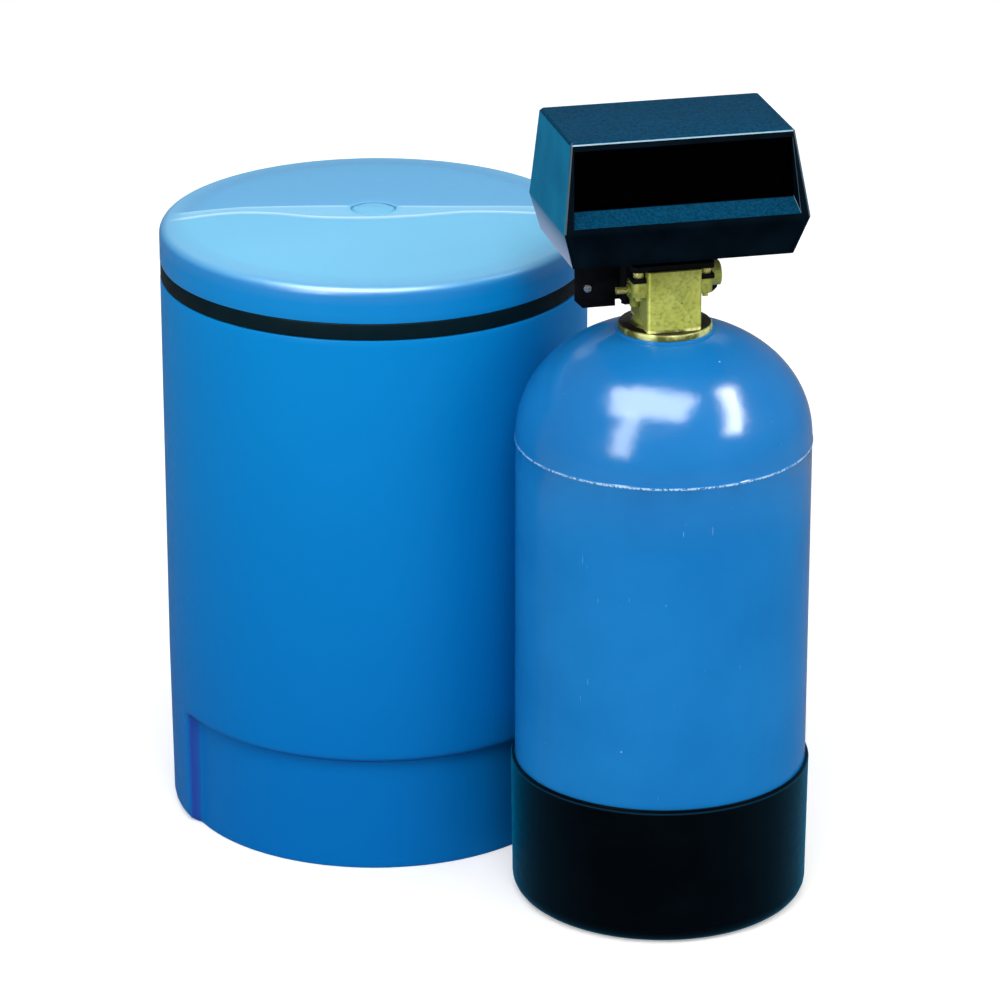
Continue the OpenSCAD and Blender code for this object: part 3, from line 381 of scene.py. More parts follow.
straight = TANK_BASE + BASE_DOME
shell = bowl(TANK_R, BASE_DOME, straight, 20)
shell += [(TANK_R, z) for z in range(100, 420, 20)]
shell += [(TANK_R, SEAM_Z - 1.6), (TANK_R + 0.2, SEAM_Z - 1.2), (TANK_R + SEAM_RISE, SEAM_Z - 0.6),
          (TANK_R + SEAM_RISE, SEAM_Z + 0.6), (TANK_R + 0.2, SEAM_Z + 1.3)]
shell += dome(TANK_R, DOME_H, SEAM_Z + 2, 48, NECK_OUT + 2)
shell += [(NECK_OUT, NECK_TOP - 2), (NECK_OUT - 0.8, NECK_TOP), (SEAL_SEAT_R, NECK_TOP),
          (SEAL_SEAT_R, SEAL_SEAT_Z), (NECK_R, SEAL_SEAT_Z), (NECK_R, NECK_TOP - NECK_THREAD)]
shell += reversed(dome(TANK_R - TANK_WALL, DOME_H - TANK_WALL, SEAM_Z, 24, NECK_R + 4))
shell += reversed(bowl(TANK_R - TANK_WALL, BASE_DOME - TANK_WALL, straight, 16))
tank_bm = turned(shell, 256, resin_axis)
# The seam bead wavers, as a hand-trimmed overlap does
for v in tank_bm.verts:
    out = Vector((v.co.x - resin_axis.x, v.co.y - resin_axis.y, 0))
    if out.length > (TANK_R + 0.1) * MM:
        waver = noise.noise(v.co / (5 * MM)) * 0.3 + noise.noise(v.co / (1.7 * MM)) * 0.3
        v.co += out.normalized() * min(waver, 0.0) * MM
        v.co.z += noise.noise(v.co / (16 * MM)) * 0.5 * MM


def cells(tree, size):
    """The distance to the nearest of many scattered points, about size millimetres apart."""
    place = tree.nodes.new("ShaderNodeTexCoord")
    spread = tree.nodes.new("ShaderNodeTexVoronoi")
    spread.inputs["Scale"].default_value = 1 / (size * MM)
    tree.links.new(place.outputs["Object"], spread.inputs["Vector"])
    return spread.outputs["Distance"]


def specks(tree, spacing, size):
    """Sparse round specks: 1 inside a speck, 0 elsewhere, sizes in millimetres."""
    return stepped(tree, cells(tree, spacing), size / spacing, size / spacing * 0.5)


tank_paint, tree, shader = shader_tree("wound_tank_paint")
height = place_on(tree)["Z"]
blue = tinted(tree, stepped(tree, mottle(tree, 90, 3), 0.35, 0.65), srgb(20, 114, 184), srgb(25, 121, 191))
seam = times(tree, stepped(tree, height, (SEAM_Z - 1.5) * MM, (SEAM_Z - 0.8) * MM),
             stepped(tree, height, (SEAM_Z + 1.1) * MM, (SEAM_Z + 0.5) * MM))
chips = times(tree, seam, stepped(tree, mottle(tree, 2.2, 4), 0.42, 0.52))
scratches = times(tree, stepped(tree, mottle(tree, 1.3, 2, (1, 1, 16)), 0.74, 0.78),
                  stepped(tree, mottle(tree, 70, 1), 0.56, 0.6))
flecks = times(tree, specks(tree, 34, 0.9), stepped(tree, mottle(tree, 120, 1), 0.5, 0.53))
blue = tinted(tree, flecks, blue, srgb(190, 212, 232))
blue = tinted(tree, scratches, blue, srgb(120, 176, 222))
coloured(tree, shader, tinted(tree, chips, blue, srgb(172, 208, 236)))
rough = stepped(tree, mottle(tree, 1.3, 3), 0.3, 0.75, 0.1, 0.22)
tree.links.new(rough, shader.inputs["Roughness"])
# The paint shines on the shoulder, and less on the wall and round the neck
shine = times(tree, stepped(tree, height, (SEAM_Z - 60) * MM, SEAM_Z * MM, 0.06, 0.4),
              stepped(tree, height, (SEAM_Z + 80) * MM, (SEAM_Z + 90) * MM, 1, 0.2))
tree.links.new(shine, shader.inputs["Specular IOR Level"])
pebbles = relief(tree, shader, mottle(tree, 26, 2), 0.5)
relief(tree, shader, mottle(tree, 1.4, 4), 0.07, pebbles)
finish_piece(add_object("wound_tank_shell", tank_bm), tank_paint, "frame", "resin_tank")


# Inside the resin tank: white moulded tube and baskets, washed gravel, amber resin beads and a rubber ring.
# The CAD solids stay and take their finish. The same white moulding makes the valve's rings and plug and
# the grid, pickup tube and bulkhead of the brine tank.
def dress(material, *nodes):
    """Gives CAD nodes a material in their own slots."""
    for name in nodes:
        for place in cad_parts[name].material_slots:
            place.material = material


white_moulding, tree, shader = shader_tree("white_moulding")
coloured(tree, shader, tinted(tree, mottle(tree, 30, 2), srgb(222, 222, 214), srgb(236, 236, 230)))
roughened(tree, shader, 5, 2, 0.38, 0.5)
shader.inputs["Specular IOR Level"].default_value = 0.4
relief(tree, shader, mottle(tree, 1.2, 2), 0.03)
dress(white_moulding, "riser_tube", "lower_distributor", "upper_distributor", "air_check", "salt_grid",
      "brine_bulkhead", "spacer_rings", "end_plug", "pickup_tube")

gravel, tree, shader = shader_tree("washed_gravel")
stones = cells(tree, 5)
coloured(tree, shader, tinted(tree, stones, srgb(176, 164, 148), srgb(92, 82, 72)))
shader.inputs["Roughness"].default_value = 0.8
relief(tree, shader, stones, 1.2)
dress(gravel, "gravel_bed")

beads, tree, shader = shader_tree("amber_resin_beads")
balls = cells(tree, 1.2)
coloured(tree, shader, tinted(tree, balls, srgb(205, 140, 50), srgb(110, 62, 16)))
shader.inputs["Roughness"].default_value = 0.35
relief(tree, shader, balls, 0.4)
dress(beads, "resin_bed")

seal_rubber, tree, shader = shader_tree("seal_rubber")
coloured(tree, shader, tinted(tree, mottle(tree, 4, 2), srgb(16, 16, 17), srgb(28, 28, 29)))
shader.inputs["Roughness"].default_value = 0.55
relief(tree, shader, mottle(tree, 0.6, 2), 0.02)
dress(seal_rubber, "tank_o_ring", "piston_seals", "flow_washer")


# The valve body: sand-cast brass, machined on the flange and the bores, dulled and darkened by handling, with
# painted shade on the flange's upward faces.
# The injector block, the port yoke and the drain fitting are the same casting metal.
def facing_of(tree):
    """The surface's own direction along X, Y and Z."""
    return on_axes(tree, tree.nodes.new("ShaderNodeNewGeometry").outputs["Normal"])


MACHINED_TO = NECK_TOP + 8
cast_brass, tree, shader = shader_tree("cast_brass")
stain = stepped(tree, mottle(tree, 3.4, 9), 0.46, 0.95)
metal = tinted(tree, stepped(tree, mottle(tree, 30, 3), 0.35, 0.65), srgb(164, 172, 77), srgb(186, 193, 98))
metal = tinted(tree, stain, metal, srgb(100, 102, 38))
tarnish_and_shade = tinted(tree, stepped(tree, mottle(tree, 20, 3), 0.44, 0.6), srgb(104, 106, 46), srgb(238, 240, 156))
# The flange's upward faces are painted almost black, painted shade under the cover
tarnish_and_shade = tinted(tree, stepped(tree, facing_of(tree)["Z"], 0.5, 0.9), tarnish_and_shade, srgb(18, 19, 7))
machined = stepped(tree, place_on(tree)["Z"], (MACHINED_TO + 0.6) * MM, (MACHINED_TO - 0.6) * MM)
coloured(tree, shader, tinted(tree, machined, metal, tarnish_and_shade))
roughened(tree, shader, 3, 4, 0.4, 0.6)
shader.inputs["Metallic"].default_value = 0.5
shader.inputs["Specular IOR Level"].default_value = 0.3
lumps = relief(tree, shader, mottle(tree, 2.6, 3), 0.16)
relief(tree, shader, mottle(tree, 0.7, 3), 0.06, lumps)
rounded_piece("valve_casting", "valve_body", 0.7, cast_brass)
rounded_piece("injector_block", "injector_body", 0.4, cast_brass)
rounded_piece("port_casting", "port_yoke", 0.6, cast_brass)
rounded_piece("drain_union", "drain_fitting", 0.5, cast_brass)

bright_brass, tree, shader = shader_tree("bright_brass")
bright = stepped(tree, mottle(tree, 6, 3), 0.4, 0.7)
coloured(tree, shader, tinted(tree, bright, srgb(232, 228, 140), srgb(206, 200, 104)))
roughened(tree, shader, 2, 2, 0.22, 0.36)
shader.inputs["Metallic"].default_value = 0.6
relief(tree, shader, mottle(tree, 0.8, 2, (6, 1, 1)), 0.01)
dress(bright_brass, "brine_line_tube")
rounded_piece("cap_screw_pair", "cap_screws", 0.4, bright_brass)


# The piston set, the screws and the other small steel parts: turned bar, clean and bright.
# The piston has a dark slick coat, and the injector's nozzle is a red moulding.
turned_steel, tree, shader = shader_tree("turned_steel")
steel = stepped(tree, mottle(tree, 8, 3), 0.35, 0.65)
coloured(tree, shader, tinted(tree, steel, srgb(196, 199, 204), srgb(168, 171, 176)))
roughened(tree, shader, 1.5, 2, 0.22, 0.36)
shader.inputs["Metallic"].default_value = 1.0
relief(tree, shader, mottle(tree, 0.5, 2, (1, 1, 8)), 0.01)
dress(turned_steel, "piston_rod", "rod_link", "injector_screws", "yoke_screws", "brine_valve_stem",
      "gear_stud", "float_rod")
rounded_piece("bracket_screw_head", "bracket_screw", 0.25, turned_steel)
rounded_piece("timer_posts", "stand_offs", 0.3, turned_steel)

# The brine valve's return spring: round wire in open coils, seated on the valve
# and pressed by the stem's collar
SPRING_WIRE = 0.45 * MM
SPRING_TURNS = 7
TURN_STEPS = 24
spring_low, spring_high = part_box("brine_valve_spring")
spring_axis = middle("brine_valve_spring")
coil_r = (spring_high.x - spring_low.x) / 2 - SPRING_WIRE
coil_rise = spring_high.z - spring_low.z - 2 * SPRING_WIRE
spring_bm = bmesh.new()
wire = bmesh.ops.create_circle(spring_bm, cap_ends=True, segments=8, radius=SPRING_WIRE)["verts"]
bmesh.ops.rotate(spring_bm, verts=wire, cent=(0, 0, 0), matrix=Matrix.Rotation(math.pi / 2, 3, "X"))
bmesh.ops.translate(spring_bm, verts=wire, vec=(coil_r, 0, 0))
bmesh.ops.spin(spring_bm, geom=spring_bm.faces[:], cent=(0, 0, 0), axis=(0, 0, 1),
               angle=2 * math.pi * SPRING_TURNS, steps=SPRING_TURNS * TURN_STEPS,
               dvec=(0, 0, coil_rise / (SPRING_TURNS * TURN_STEPS)))
bmesh.ops.translate(spring_bm, verts=spring_bm.verts,
                    vec=(spring_axis.x, spring_axis.y, spring_low.z + SPRING_WIRE))
bmesh.ops.recalc_face_normals(spring_bm, faces=spring_bm.faces)
spring = add_object("stem_return_spring", spring_bm)
finish_piece(spring, turned_steel, "frame", "brine_valve_spring")
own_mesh(spring)

slick_coat, tree, shader = shader_tree("piston_slick_coat")
coloured(tree, shader, tinted(tree, mottle(tree, 5, 3), srgb(70, 80, 72), srgb(92, 102, 92)))
shader.inputs["Roughness"].default_value = 0.3
relief(tree, shader, mottle(tree, 0.8, 2), 0.01)
dress(slick_coat, "piston")

red_nozzle, tree, shader = shader_tree("red_nozzle_moulding")
coloured(tree, shader, tinted(tree, mottle(tree, 4, 2), srgb(205, 48, 32), srgb(222, 66, 46)))
shader.inputs["Roughness"].default_value = 0.4
relief(tree, shader, mottle(tree, 0.8, 2), 0.01)
dress(red_nozzle, "injector_nozzle")


# The black mounting plate, the back plate and the valve's small black mouldings: glass-filled nylon,
# almost matt, with a faint grain.
plate_nylon, tree, shader = shader_tree("plate_nylon")
patches = stepped(tree, mottle(tree, 18, 3), 0.3, 0.7)
coloured(tree, shader, tinted(tree, patches, srgb(8, 9, 11), srgb(17, 20, 24)))
roughened(tree, shader, 4, 3, 0.42, 0.6)
shader.inputs["Specular IOR Level"].default_value = 0.05
relief(tree, shader, mottle(tree, 0.8, 3), 0.05)
rounded_piece("nylon_mounting_block", "mounting_plate", 0.6, plate_nylon)
rounded_piece("nylon_back_plate", "back_plate", 0.35, plate_nylon)
dress(plate_nylon, "brine_valve_body")
rounded_piece("cord_gland", "cable_gland", 0.4, plate_nylon)


# The drive motor and the timer motor: drawn steel cans with a brushed zinc finish.
# The drive motor turns the main gear, and the timer motor turns the day dial.
motor_can, tree, shader = shader_tree("zinc_motor_can")
brushed = mottle(tree, 10, 3, (1, 6, 1))
coloured(tree, shader, tinted(tree, brushed, srgb(150, 154, 156), srgb(182, 186, 188)))
roughened(tree, shader, 3, 2, 0.3, 0.46)
shader.inputs["Metallic"].default_value = 0.9
relief(tree, shader, mottle(tree, 0.7, 2, (1, 8, 1)), 0.015)
rounded_piece("drive_motor_can", "drive_motor", 0.8, motor_can)
rounded_piece("timer_motor_can", "timer_motor", 0.6, motor_can)


# The gears and the timer's dials: cream acetal mouldings with a waxy sheen. The timer's plate is stamped
# steel, and the hand knob and the switches are black mouldings.
acetal, tree, shader = shader_tree("cream_acetal")
coloured(tree, shader, tinted(tree, mottle(tree, 14, 2), srgb(224, 220, 204), srgb(238, 235, 222)))
roughened(tree, shader, 4, 2, 0.32, 0.45)
shader.inputs["Specular IOR Level"].default_value = 0.4
relief(tree, shader, mottle(tree, 1.0, 2), 0.015)
dress(acetal, "motor_pinion", "drive_gear", "timer_pinion", "program_wheel", "day_dial", "skipper_wheel")

stamped_steel, tree, shader = shader_tree("stamped_timer_plate")
coloured(tree, shader, tinted(tree, mottle(tree, 22, 4), srgb(176, 178, 180), srgb(202, 204, 206)))
roughened(tree, shader, 5, 3, 0.28, 0.45, (8, 1, 1))
shader.inputs["Metallic"].default_value = 0.95
relief(tree, shader, mottle(tree, 0.6, 2, (12, 1, 1)), 0.012)
rounded_piece("stamped_plate", "timer_plate", 0.25, stamped_steel)

black_knob, tree, shader = shader_tree("black_knob_moulding")
coloured(tree, shader, tinted(tree, mottle(tree, 6, 2), srgb(14, 14, 16), srgb(26, 26, 29)))
roughened(tree, shader, 3, 2, 0.3, 0.42)
relief(tree, shader, mottle(tree, 0.8, 2), 0.015)
dress(black_knob, "regeneration_knob", "micro_switches")


# The head cover: one dark injection moulding, grained like leather on the roof and the window shelf,
# almost smooth on its cheeks, with rounded edges that catch the light and carry painted highlights.
def marked(tree, name):
    """A mark that the mesh carries, as a number."""
    mark = tree.nodes.new("ShaderNodeAttribute")
    mark.attribute_name = name
    return mark.outputs["Fac"]


cover_axis = middle("head_cover")
WAIST_Z = 638.7
CHEEK_FROM = 80 * MM
CHEEK_TO = 87 * MM
cover_plastic, tree, shader = shader_tree("grained_cover_plastic")
facing = facing_of(tree)
place = place_on(tree)
grain = mottle(tree, 1.6, 4)
wear = stepped(tree, mottle(tree, 34, 4), 0.3, 0.7)
leather = stepped(tree, mottle(tree, 2.6, 5), 0.34, 0.68)
# The front is black. The roof, the back and the cheeks are painted teal, a painted sheen on the dark plastic,
# and below the waist the cheeks' undersides turn paler, a painted reflection of the floor
black = tinted(tree, wear, srgb(2, 8, 14), srgb(5, 17, 27))
cheek_sheen = tinted(tree, wear, srgb(14, 98, 136), srgb(20, 112, 150))
# Faces that look downwards are painted paler, palest below the waist: a painted reflection of the floor, full
# on the left and a fifth as strong on the right
under = times(tree, stepped(tree, facing["Z"], -0.12, -0.2), stepped(tree, facing["X"], 0.2, -0.2, 0.2))
lower = stepped(tree, place["Z"], WAIST_Z * MM, (WAIST_Z - 34) * MM)
cheek_sheen = tinted(tree, under, cheek_sheen, tinted(tree, lower, srgb(70, 118, 148), srgb(176, 186, 212)))
roof_grain_and_sheen = tinted(tree, leather, srgb(2, 51, 79), srgb(10, 73, 105))
walls = tinted(tree, stepped(tree, facing["Y"], 0.5, 0.7), black, roof_grain_and_sheen)
offside = times(tree, reckoned(tree, "SUBTRACT", place["X"], cover_axis.x), facing["X"])
walls = tinted(tree, stepped(tree, offside, CHEEK_FROM, CHEEK_TO), walls, cheek_sheen)
colour = tinted(tree, stepped(tree, facing["Z"], 0.35, 0.75), walls, roof_grain_and_sheen)
# The marked edges are painted pale blue as painted highlights, and they shine more
edge_highlight = marked(tree, "highlight_edge")
coloured(tree, shader, tinted(tree, edge_highlight, colour, srgb(150, 190, 210)))
roughened(tree, shader, 1.6, 4, 0.34, 0.5)
tree.links.new(stepped(tree, edge_highlight, 0, 1, 0.008, 0.45), shader.inputs["Specular IOR Level"])
relief(tree, shader, times(tree, grain, stepped(tree, facing["Z"], 0.2, 0.6, 0.15, 1.0)), 0.2)

cover_bm = softened("head_cover", 1.0, turn=20)
highlight_mark = cover_bm.faces.layers.float["highlight_edge"]
for face in cover_bm.faces:
    face[highlight_mark] = 0.0
cover_bm.normal_update()


def strip(faces, point, direction, light):
    """Marks the part of some faces that lies beyond a plane as an edge that catches the light, with a painted
    highlight.
    """
    around = list({part for f in faces for part in list(f.verts) + list(f.edges)}) + list(faces)
    cut = bmesh.ops.bisect_plane(cover_bm, geom=around, dist=0.01 * MM, plane_co=point, plane_no=direction)
    cover_bm.normal_update()
    for f in cut["geom"]:
        if isinstance(f, bmesh.types.BMFace) and (f.calc_center_median() - point).dot(direction) > 0:
            f[highlight_mark] = light


# Light catches the roof's front edge, the front corners, and the window's right side and shelf end, which are
# also painted pale as painted highlights
ROOF_Z = 0.7
ROOF_STRIP = 1.2 * MM
FRAME_TILT = Vector((0, -0.967, 0.255))
FRAME_FRONT = 0.0513
FRAME_TOP = 0.7085
FRAME_STRIP = 1.3 * MM
SHELF_TILT = Vector((0, -0.4, 0.917))
SHELF_FRONT = 0.047
SHELF_TOP = 0.65
SHELF_STRIP = 1.4 * MM
REVEAL_FROM = cover_axis.x + 0.085
REVEAL_TO = cover_axis.x + 0.1
REVEAL_AREA = 60 * MM ** 2
CORNER_LIGHT = 0.16
roof_edge = [f for f in cover_bm.faces
             if f.normal.y < -0.5 and 0.45 < f.normal.z < 0.88 and f.calc_center_median().z > ROOF_Z]
roof_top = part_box("head_cover")[1]
strip(roof_edge, roof_top - Vector((0, 0, ROOF_STRIP)), Vector((0, 0, -1)), 0.6)
frame_line = Vector((0, resin_axis.y - FRAME_FRONT, FRAME_TOP)) - FRAME_TILT * FRAME_STRIP
shelf_line = Vector((0, resin_axis.y - SHELF_FRONT, SHELF_TOP)) + SHELF_TILT * SHELF_STRIP
for point, direction, light in ((frame_line, FRAME_TILT, 0.55), (shelf_line, -SHELF_TILT, 0.8)):
    reveal = [f for f in cover_bm.faces if f.normal.x < -0.9 and f.calc_area() > REVEAL_AREA
              and REVEAL_FROM < f.calc_center_median().x < REVEAL_TO]
    strip(reveal, point, direction, light)
for face in cover_bm.faces:
    n = face.normal
    at = face.calc_center_median()
    corner = n.y < -0.2 and (at.x - cover_axis.x) * n.x > 0 and 0.4 < abs(n.x) < 0.8
    if corner and at.z > WAIST_Z * MM:
        face[highlight_mark] = CORNER_LIGHT
# The skirt's front lies a little back inside a plain border
skirt = max((f for f in cover_bm.faces if f.normal.y < -0.7 and f.calc_center_median().z < WAIST_Z * MM),
            key=lambda f: f.calc_area())
bmesh.ops.inset_region(cover_bm, faces=[skirt], thickness=4.5 * MM, depth=0)
bmesh.ops.inset_region(cover_bm, faces=[skirt], thickness=0.5 * MM, depth=-0.5 * MM)
finish_piece(add_object("moulded_head_cover", cover_bm), cover_plastic, "cover", "head_cover")

window_pane, tree, shader = shader_tree("smoked_window_pane")
coloured(tree, shader, tinted(tree, mottle(tree, 40, 2), srgb(0, 0, 0), srgb(1, 1, 2)))
roughened(tree, shader, 25, 3, 0.08, 0.14)
shader.inputs["Specular IOR Level"].default_value = 0.006
rounded_piece("smoked_window", "cover_window", 0.3, window_pane, body="cover")


# The brine tank: rotation-moulded polyethylene, one blue shell with a soft ledge over the recessed foot.
# Its rim steps in to take the band.
brine_axis = middle("brine_tank")
BRINE_R = 191.7
BRINE_WALL = 4.2
FLOOR_TOP = 5
DRAFT = 1.5
DRAFT_FROM = 9
DRAFT_RUN = 141
BAND_LOW = 506.9
BAND_TOP = 521.7
BAND_SEAT = BRINE_R - 4.2
FOOT_R = 180.5
LEDGE_Z = 111.0
RECESS_MID = math.radians(-103.5)
RECESS_HALF = math.radians(64)
RECESS_DEEPEST = 11.2


def ease(x, start, end):
    """0 before start and 1 after end, with a soft run between."""
    t = min(max((x - start) / (end - start), 0), 1)
    return t * t * (3 - 2 * t)


def wall_r(z):
    """The wall's outside radius, which grows a little over its lower part."""
    return BRINE_R - DRAFT + DRAFT * min((z - DRAFT_FROM) / DRAFT_RUN, 1)


WALL_ROWS = [9, 20, 34, 50, 66, 80, 90, 96, 100, 102.5, 104.5, 106.5, 108.5, 110.5, 113, 117, 124, 135, 150,
             200, 260, 320, 380, 430, 470, 490, 500]
outside = [(0, 0), (120, 0), (170, 0), (180, 0.4), (184.5, 1.2), (187.6, 3.2), (189.6, 6)]
outside += [(wall_r(z), z) for z in WALL_ROWS]
outside += [(BRINE_R, 505), (BRINE_R - 0.6, 506.3), (BRINE_R - 2, BAND_LOW), (BAND_SEAT, BAND_LOW + 0.3),
            (BAND_SEAT, BAND_TOP - 0.6), (BAND_SEAT - 0.6, BAND_TOP)]
inside = [(0, FLOOR_TOP), (120, FLOOR_TOP), (176, FLOOR_TOP), (182, 6.2), (185.2, 9.4)]
inside += [(wall_r(z) - BRINE_WALL, z) for z in WALL_ROWS[1:]]
inside += [(BAND_SEAT - BRINE_WALL, 504), (BAND_SEAT - BRINE_WALL, BAND_TOP - 0.6),
           (BAND_SEAT - BRINE_WALL + 0.6, BAND_TOP)]
brine_bm = turned(outside + inside[::-1], 288, brine_axis)
creased = brine_bm.verts.layers.float.new("creased")
for v in brine_bm.verts:
    out = Vector((v.co.x - brine_axis.x, v.co.y - brine_axis.y, 0))
    z = v.co.z / MM
    if out.length < 150 * MM or z > 130:
        continue
    turn = abs((math.atan2(out.y, out.x) - RECESS_MID + math.pi) % (2 * math.pi) - math.pi)
    share = 1 - ease(turn, RECESS_HALF - math.radians(2.2), RECESS_HALF + math.radians(1.4))
    share *= 1 - ease(z, LEDGE_Z - 7, LEDGE_Z + 1)
    inner_side = z > FLOOR_TOP and out.length < 188 * MM
    depth = max(out.length / MM - (FOOT_R - (BRINE_WALL if inner_side else 0)), 0)
    v.co -= out.normalized() * min(depth, RECESS_DEEPEST) * share * MM
    v[creased] = 4 * share * (1 - share)

brine_plastic, tree, shader = shader_tree("brine_tank_polyethylene")
low_blue = tinted(tree, mottle(tree, 140, 2), srgb(0, 106, 182), srgb(0, 110, 187))
high_blue = tinted(tree, mottle(tree, 140, 2), srgb(0, 124, 196), srgb(2, 131, 203))
# The blue is darker towards the bottom, painted shade
blue = tinted(tree, stepped(tree, place_on(tree)["Z"], 0.06, 0.5), low_blue, high_blue)
# The crease round the foot's recess is painted dark violet, a painted shade
crease = stepped(tree, marked(tree, "creased"), 0.15, 0.8, 0, 0.75)
coloured(tree, shader, tinted(tree, crease, blue, srgb(44, 50, 150)))
roughened(tree, shader, 7, 3, 0.34, 0.44)
shader.inputs["Specular IOR Level"].default_value = 0.05
waves = relief(tree, shader, mottle(tree, 60, 2), 0.5)
relief(tree, shader, mottle(tree, 1.6, 3), 0.03, waves)
finish_piece(add_object("moulded_brine_tank", brine_bm), brine_plastic, "frame", "brine_tank")

band_rubber, tree, shader = shader_tree("rim_band_rubber")
coloured(tree, shader, tinted(tree, mottle(tree, 25, 3), srgb(2, 20, 27), srgb(4, 30, 38)))
roughened(tree, shader, 5, 2, 0.4, 0.55)
shader.inputs["Specular IOR Level"].default_value = 0.05
relief(tree, shader, mottle(tree, 1.0, 2), 0.04)
rounded_piece("rim_band_ring", "rim_band", 0.3, band_rubber)


# The lid: a shallow polyethylene crown with a rolled edge, a round dimple where the mould was fed,
# and a fold across it, behind which it lies a little lower.
LID_EDGE_R = 9.0
LID_EDGE_Z = 546
LID_SHOULDER = 555.0
LID_CROWN = 566.0
LID_WALL = 4.0
LID_SPIGOT = BRINE_R - 8.8
CREASE_TURN = math.radians(-9.5)
crown_r = BRINE_R - LID_EDGE_R


def crown(r):
    """Height of the lid's top at a distance from its axis."""
    return LID_CROWN - (LID_CROWN - LID_SHOULDER) * (r / crown_r) ** 2


FOLD_NEAR = [(-240, 6), (-180, 8), (-128, 9), (-91, -2), (-54, -20), (-10, -28), (33, -25), (84, -11),
             (135, -6), (180, -4), (240, -4)]
FOLD_FAR = [(-240, 28), (-180, 26), (-120, 23), (-95, 18), (-40, 9), (25, 3), (78, 4), (137, 13),
            (180, 16), (240, 18)]


def on_line(points, along):
    """How far back a fold line lies at a place along the lid."""
    i = max(min(sum(along > p[0] for p in points) - 1, len(points) - 3), 1)
    (x0, y0), (x1, y1), (x2, y2), (x3, y3) = points[i - 1:i + 3]
    t = min(max((along - x1) / (x2 - x1), -1), 2)
    rise0, rise1 = (y2 - y0) / (x2 - x0) * (x2 - x1), (y3 - y1) / (x3 - x1) * (x2 - x1)
    return ((2 * t ** 3 - 3 * t ** 2 + 1) * y1 + (t ** 3 - 2 * t ** 2 + t) * rise0
            + (3 * t ** 2 - 2 * t ** 3) * y2 + (t ** 3 - t ** 2) * rise1)


CROWN_ROWS = [178, 170] + list(range(165, 60, -4)) + list(range(60, 24, -2))
CROWN_ROWS += [22.5, 21.2, 20.4, 19.8, 19.0, 18.2, 17.4, 16.6, 12, 6, 0]
lid_line = [(BRINE_R - 12, BAND_TOP - 9), (BRINE_R - 10, BAND_TOP - 10), (LID_SPIGOT, BAND_TOP - 9),
            (LID_SPIGOT, BAND_TOP + 0.1), (BRINE_R - 1.4, BAND_TOP + 0.1), (BRINE_R - 0.4, BAND_TOP + 0.5),
            (BRINE_R, BAND_TOP + 1.6), (BRINE_R, 530), (BRINE_R, 538)]
roll = [math.radians(a) for a in range(0, 85, 10)]
lid_line += [(crown_r + LID_EDGE_R * math.cos(a), LID_EDGE_Z + LID_EDGE_R * math.sin(a)) for a in roll]
lid_line += [(r, crown(r)) for r in CROWN_ROWS]
lid_line += [(r, crown(r) - LID_WALL) for r in range(0, 170, 16)]
lid_line += [(BRINE_R - 12, 549)]
lid_bm = turned(lid_line, 576, brine_axis)
bmesh.ops.bridge_loops(lid_bm, edges=[e for e in lid_bm.edges if e.is_boundary])
bmesh.ops.recalc_face_normals(lid_bm, faces=lid_bm.faces)
# The fold's two ridges and the strip between them are marked for painted highlights, and the lower part
# behind them and the dimple's ring for painted shade
sheen_and_shade = lid_bm.verts.layers.float.new("sheen_and_shade")
for v in lid_bm.verts:
    x, y = v.co.x - brine_axis.x, v.co.y - brine_axis.y
    r = math.hypot(x, y) / MM
    z = v.co.z / MM
    if z < 545 or z < crown(min(r, crown_r)) - 1:
        continue
    along = (x * math.cos(CREASE_TURN) + y * math.sin(CREASE_TURN)) / MM
    back = (-x * math.sin(CREASE_TURN) + y * math.cos(CREASE_TURN)) / MM
    near, far = on_line(FOLD_NEAR, along), on_line(FOLD_FAR, along)
    within = ease(r, 184, 172)
    reach = within * ease(r, 21, 24)
    lowered = 1.1 * ease(back, far, far + 4) * within
    ridges = math.exp(-((back - near) / 2.4) ** 2) + 0.55 * math.exp(-((back - far) / 2.2) ** 2)
    dimple = 1.5 * ease(r, 20.6, 19.2) - 1.2 * ease(r, 18.4, 17.2)
    v.co.z += (0.9 * ridges * reach - lowered - dimple * ease(r, 22, 20)) * MM
    between = 0.16 * ease(back, near, near + 3) * ease(back, far, far - 3)
    behind = 0.5 * ease(back, far + 1, far + 6)
    ring = math.exp(-((r - 19.6) / 0.9) ** 2)
    v[sheen_and_shade] = (min(ridges, 1.0) + between - behind) * reach - ring
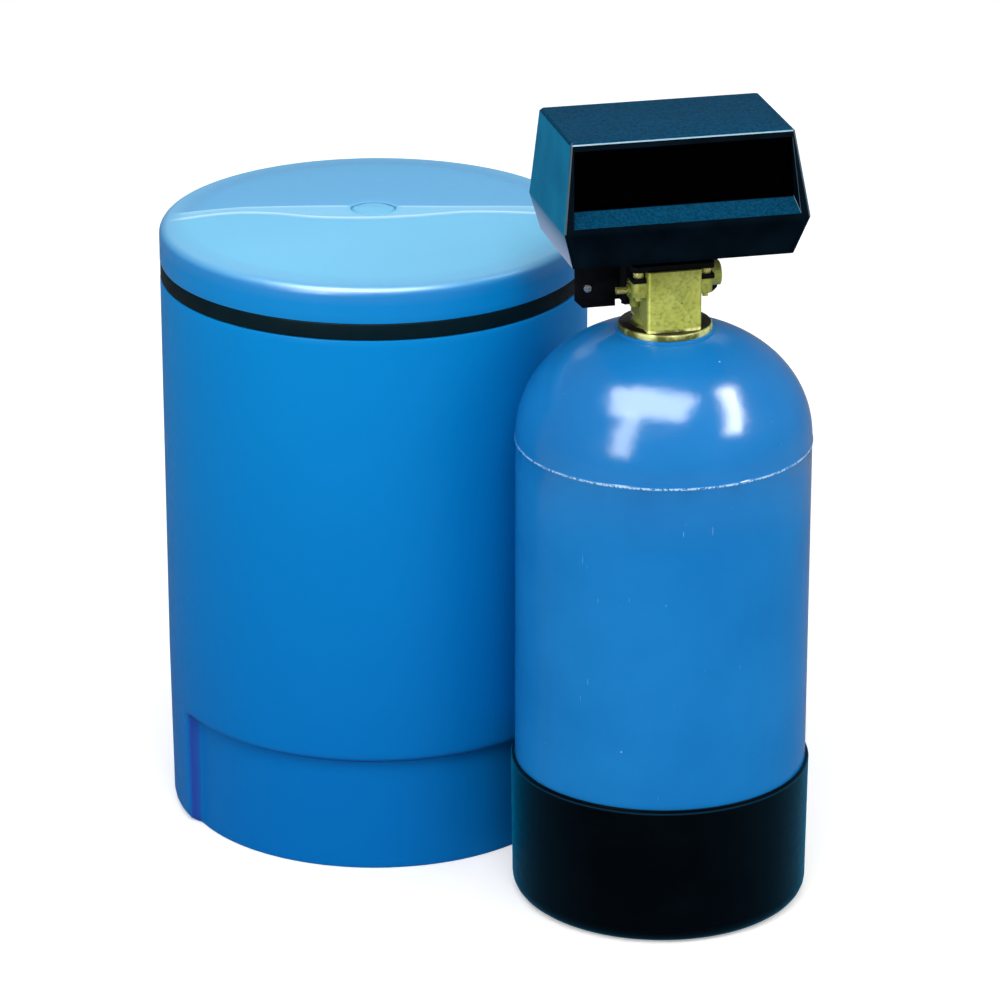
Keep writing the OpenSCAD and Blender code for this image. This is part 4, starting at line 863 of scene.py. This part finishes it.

# The side is the tank's blue and the crown is painted paler, a painted sheen; the rolled edge between them
# shines most
lid_plastic, tree, shader = shader_tree("lid_polyethylene")
height = place_on(tree)["Z"]
side = tinted(tree, mottle(tree, 120, 2), srgb(0, 126, 198), srgb(3, 133, 205))
crown_sheen = tinted(tree, mottle(tree, 120, 2), srgb(116, 194, 234), srgb(123, 199, 238))
fold = marked(tree, "sheen_and_shade")
# The fold's marks paint its ridges paler, as painted highlights, and the part behind it and the dimple's ring
# darker, as painted shade
crown_sheen = tinted(tree, stepped(tree, fold, 0, 1), crown_sheen, srgb(196, 228, 250))
crown_sheen = tinted(tree, stepped(tree, fold, -0.05, -0.5), crown_sheen, srgb(104, 176, 224))
crown_sheen = tinted(tree, stepped(tree, fold, -0.52, -1), crown_sheen, srgb(52, 112, 170))
coloured(tree, shader, tinted(tree, stepped(tree, height, 0.549, 0.557), side, crown_sheen))
rough = stepped(tree, mottle(tree, 8, 3), 0.3, 0.7, 0.3, 0.4)
rough = reckoned(tree, "ADD", rough, stepped(tree, height, 0.5545, 0.5575, 0, 0.26))
tree.links.new(rough, shader.inputs["Roughness"])
shine = times(tree, stepped(tree, height, 0.538, 0.549, 0.2, 1),
              stepped(tree, height, 0.5535, 0.5565, 0.7, 0.09))
tree.links.new(shine, shader.inputs["Specular IOR Level"])
relief(tree, shader, mottle(tree, 1.6, 3), 0.03)
finish_piece(add_object("moulded_lid", lid_bm), lid_plastic, "lid", "tank_lid")


# In the brine tank: a grey well tube with its cap, black fittings and a float on its rod.
# The well keeps the salt away from the float and the safety valve.
well_plastic, tree, shader = shader_tree("well_tube_plastic")
coloured(tree, shader, tinted(tree, mottle(tree, 50, 3), srgb(206, 209, 210), srgb(222, 224, 225)))
roughened(tree, shader, 9, 2, 0.38, 0.5)
relief(tree, shader, mottle(tree, 3, 2, (1, 1, 10)), 0.04)
dress(well_plastic, "brine_well")

black_fitting, tree, shader = shader_tree("black_fitting_moulding")
coloured(tree, shader, tinted(tree, mottle(tree, 15, 3), srgb(26, 28, 31), srgb(40, 43, 46)))
roughened(tree, shader, 4, 2, 0.48, 0.6)
shader.inputs["Specular IOR Level"].default_value = 0.12
relief(tree, shader, mottle(tree, 1.0, 2), 0.03)
dress(black_fitting, "safety_valve")
rounded_piece("well_cap_moulding", "well_cap", 0.6, black_fitting, body="well_lid")
rounded_piece("overflow_elbow", "overflow_fitting", 0.5, black_fitting)

float_foam, tree, shader = shader_tree("float_foam")
coloured(tree, shader, tinted(tree, mottle(tree, 6, 4), srgb(224, 132, 48), srgb(238, 154, 70)))
shader.inputs["Roughness"].default_value = 0.75
relief(tree, shader, mottle(tree, 1.5, 3), 0.12)
dress(float_foam, "float")
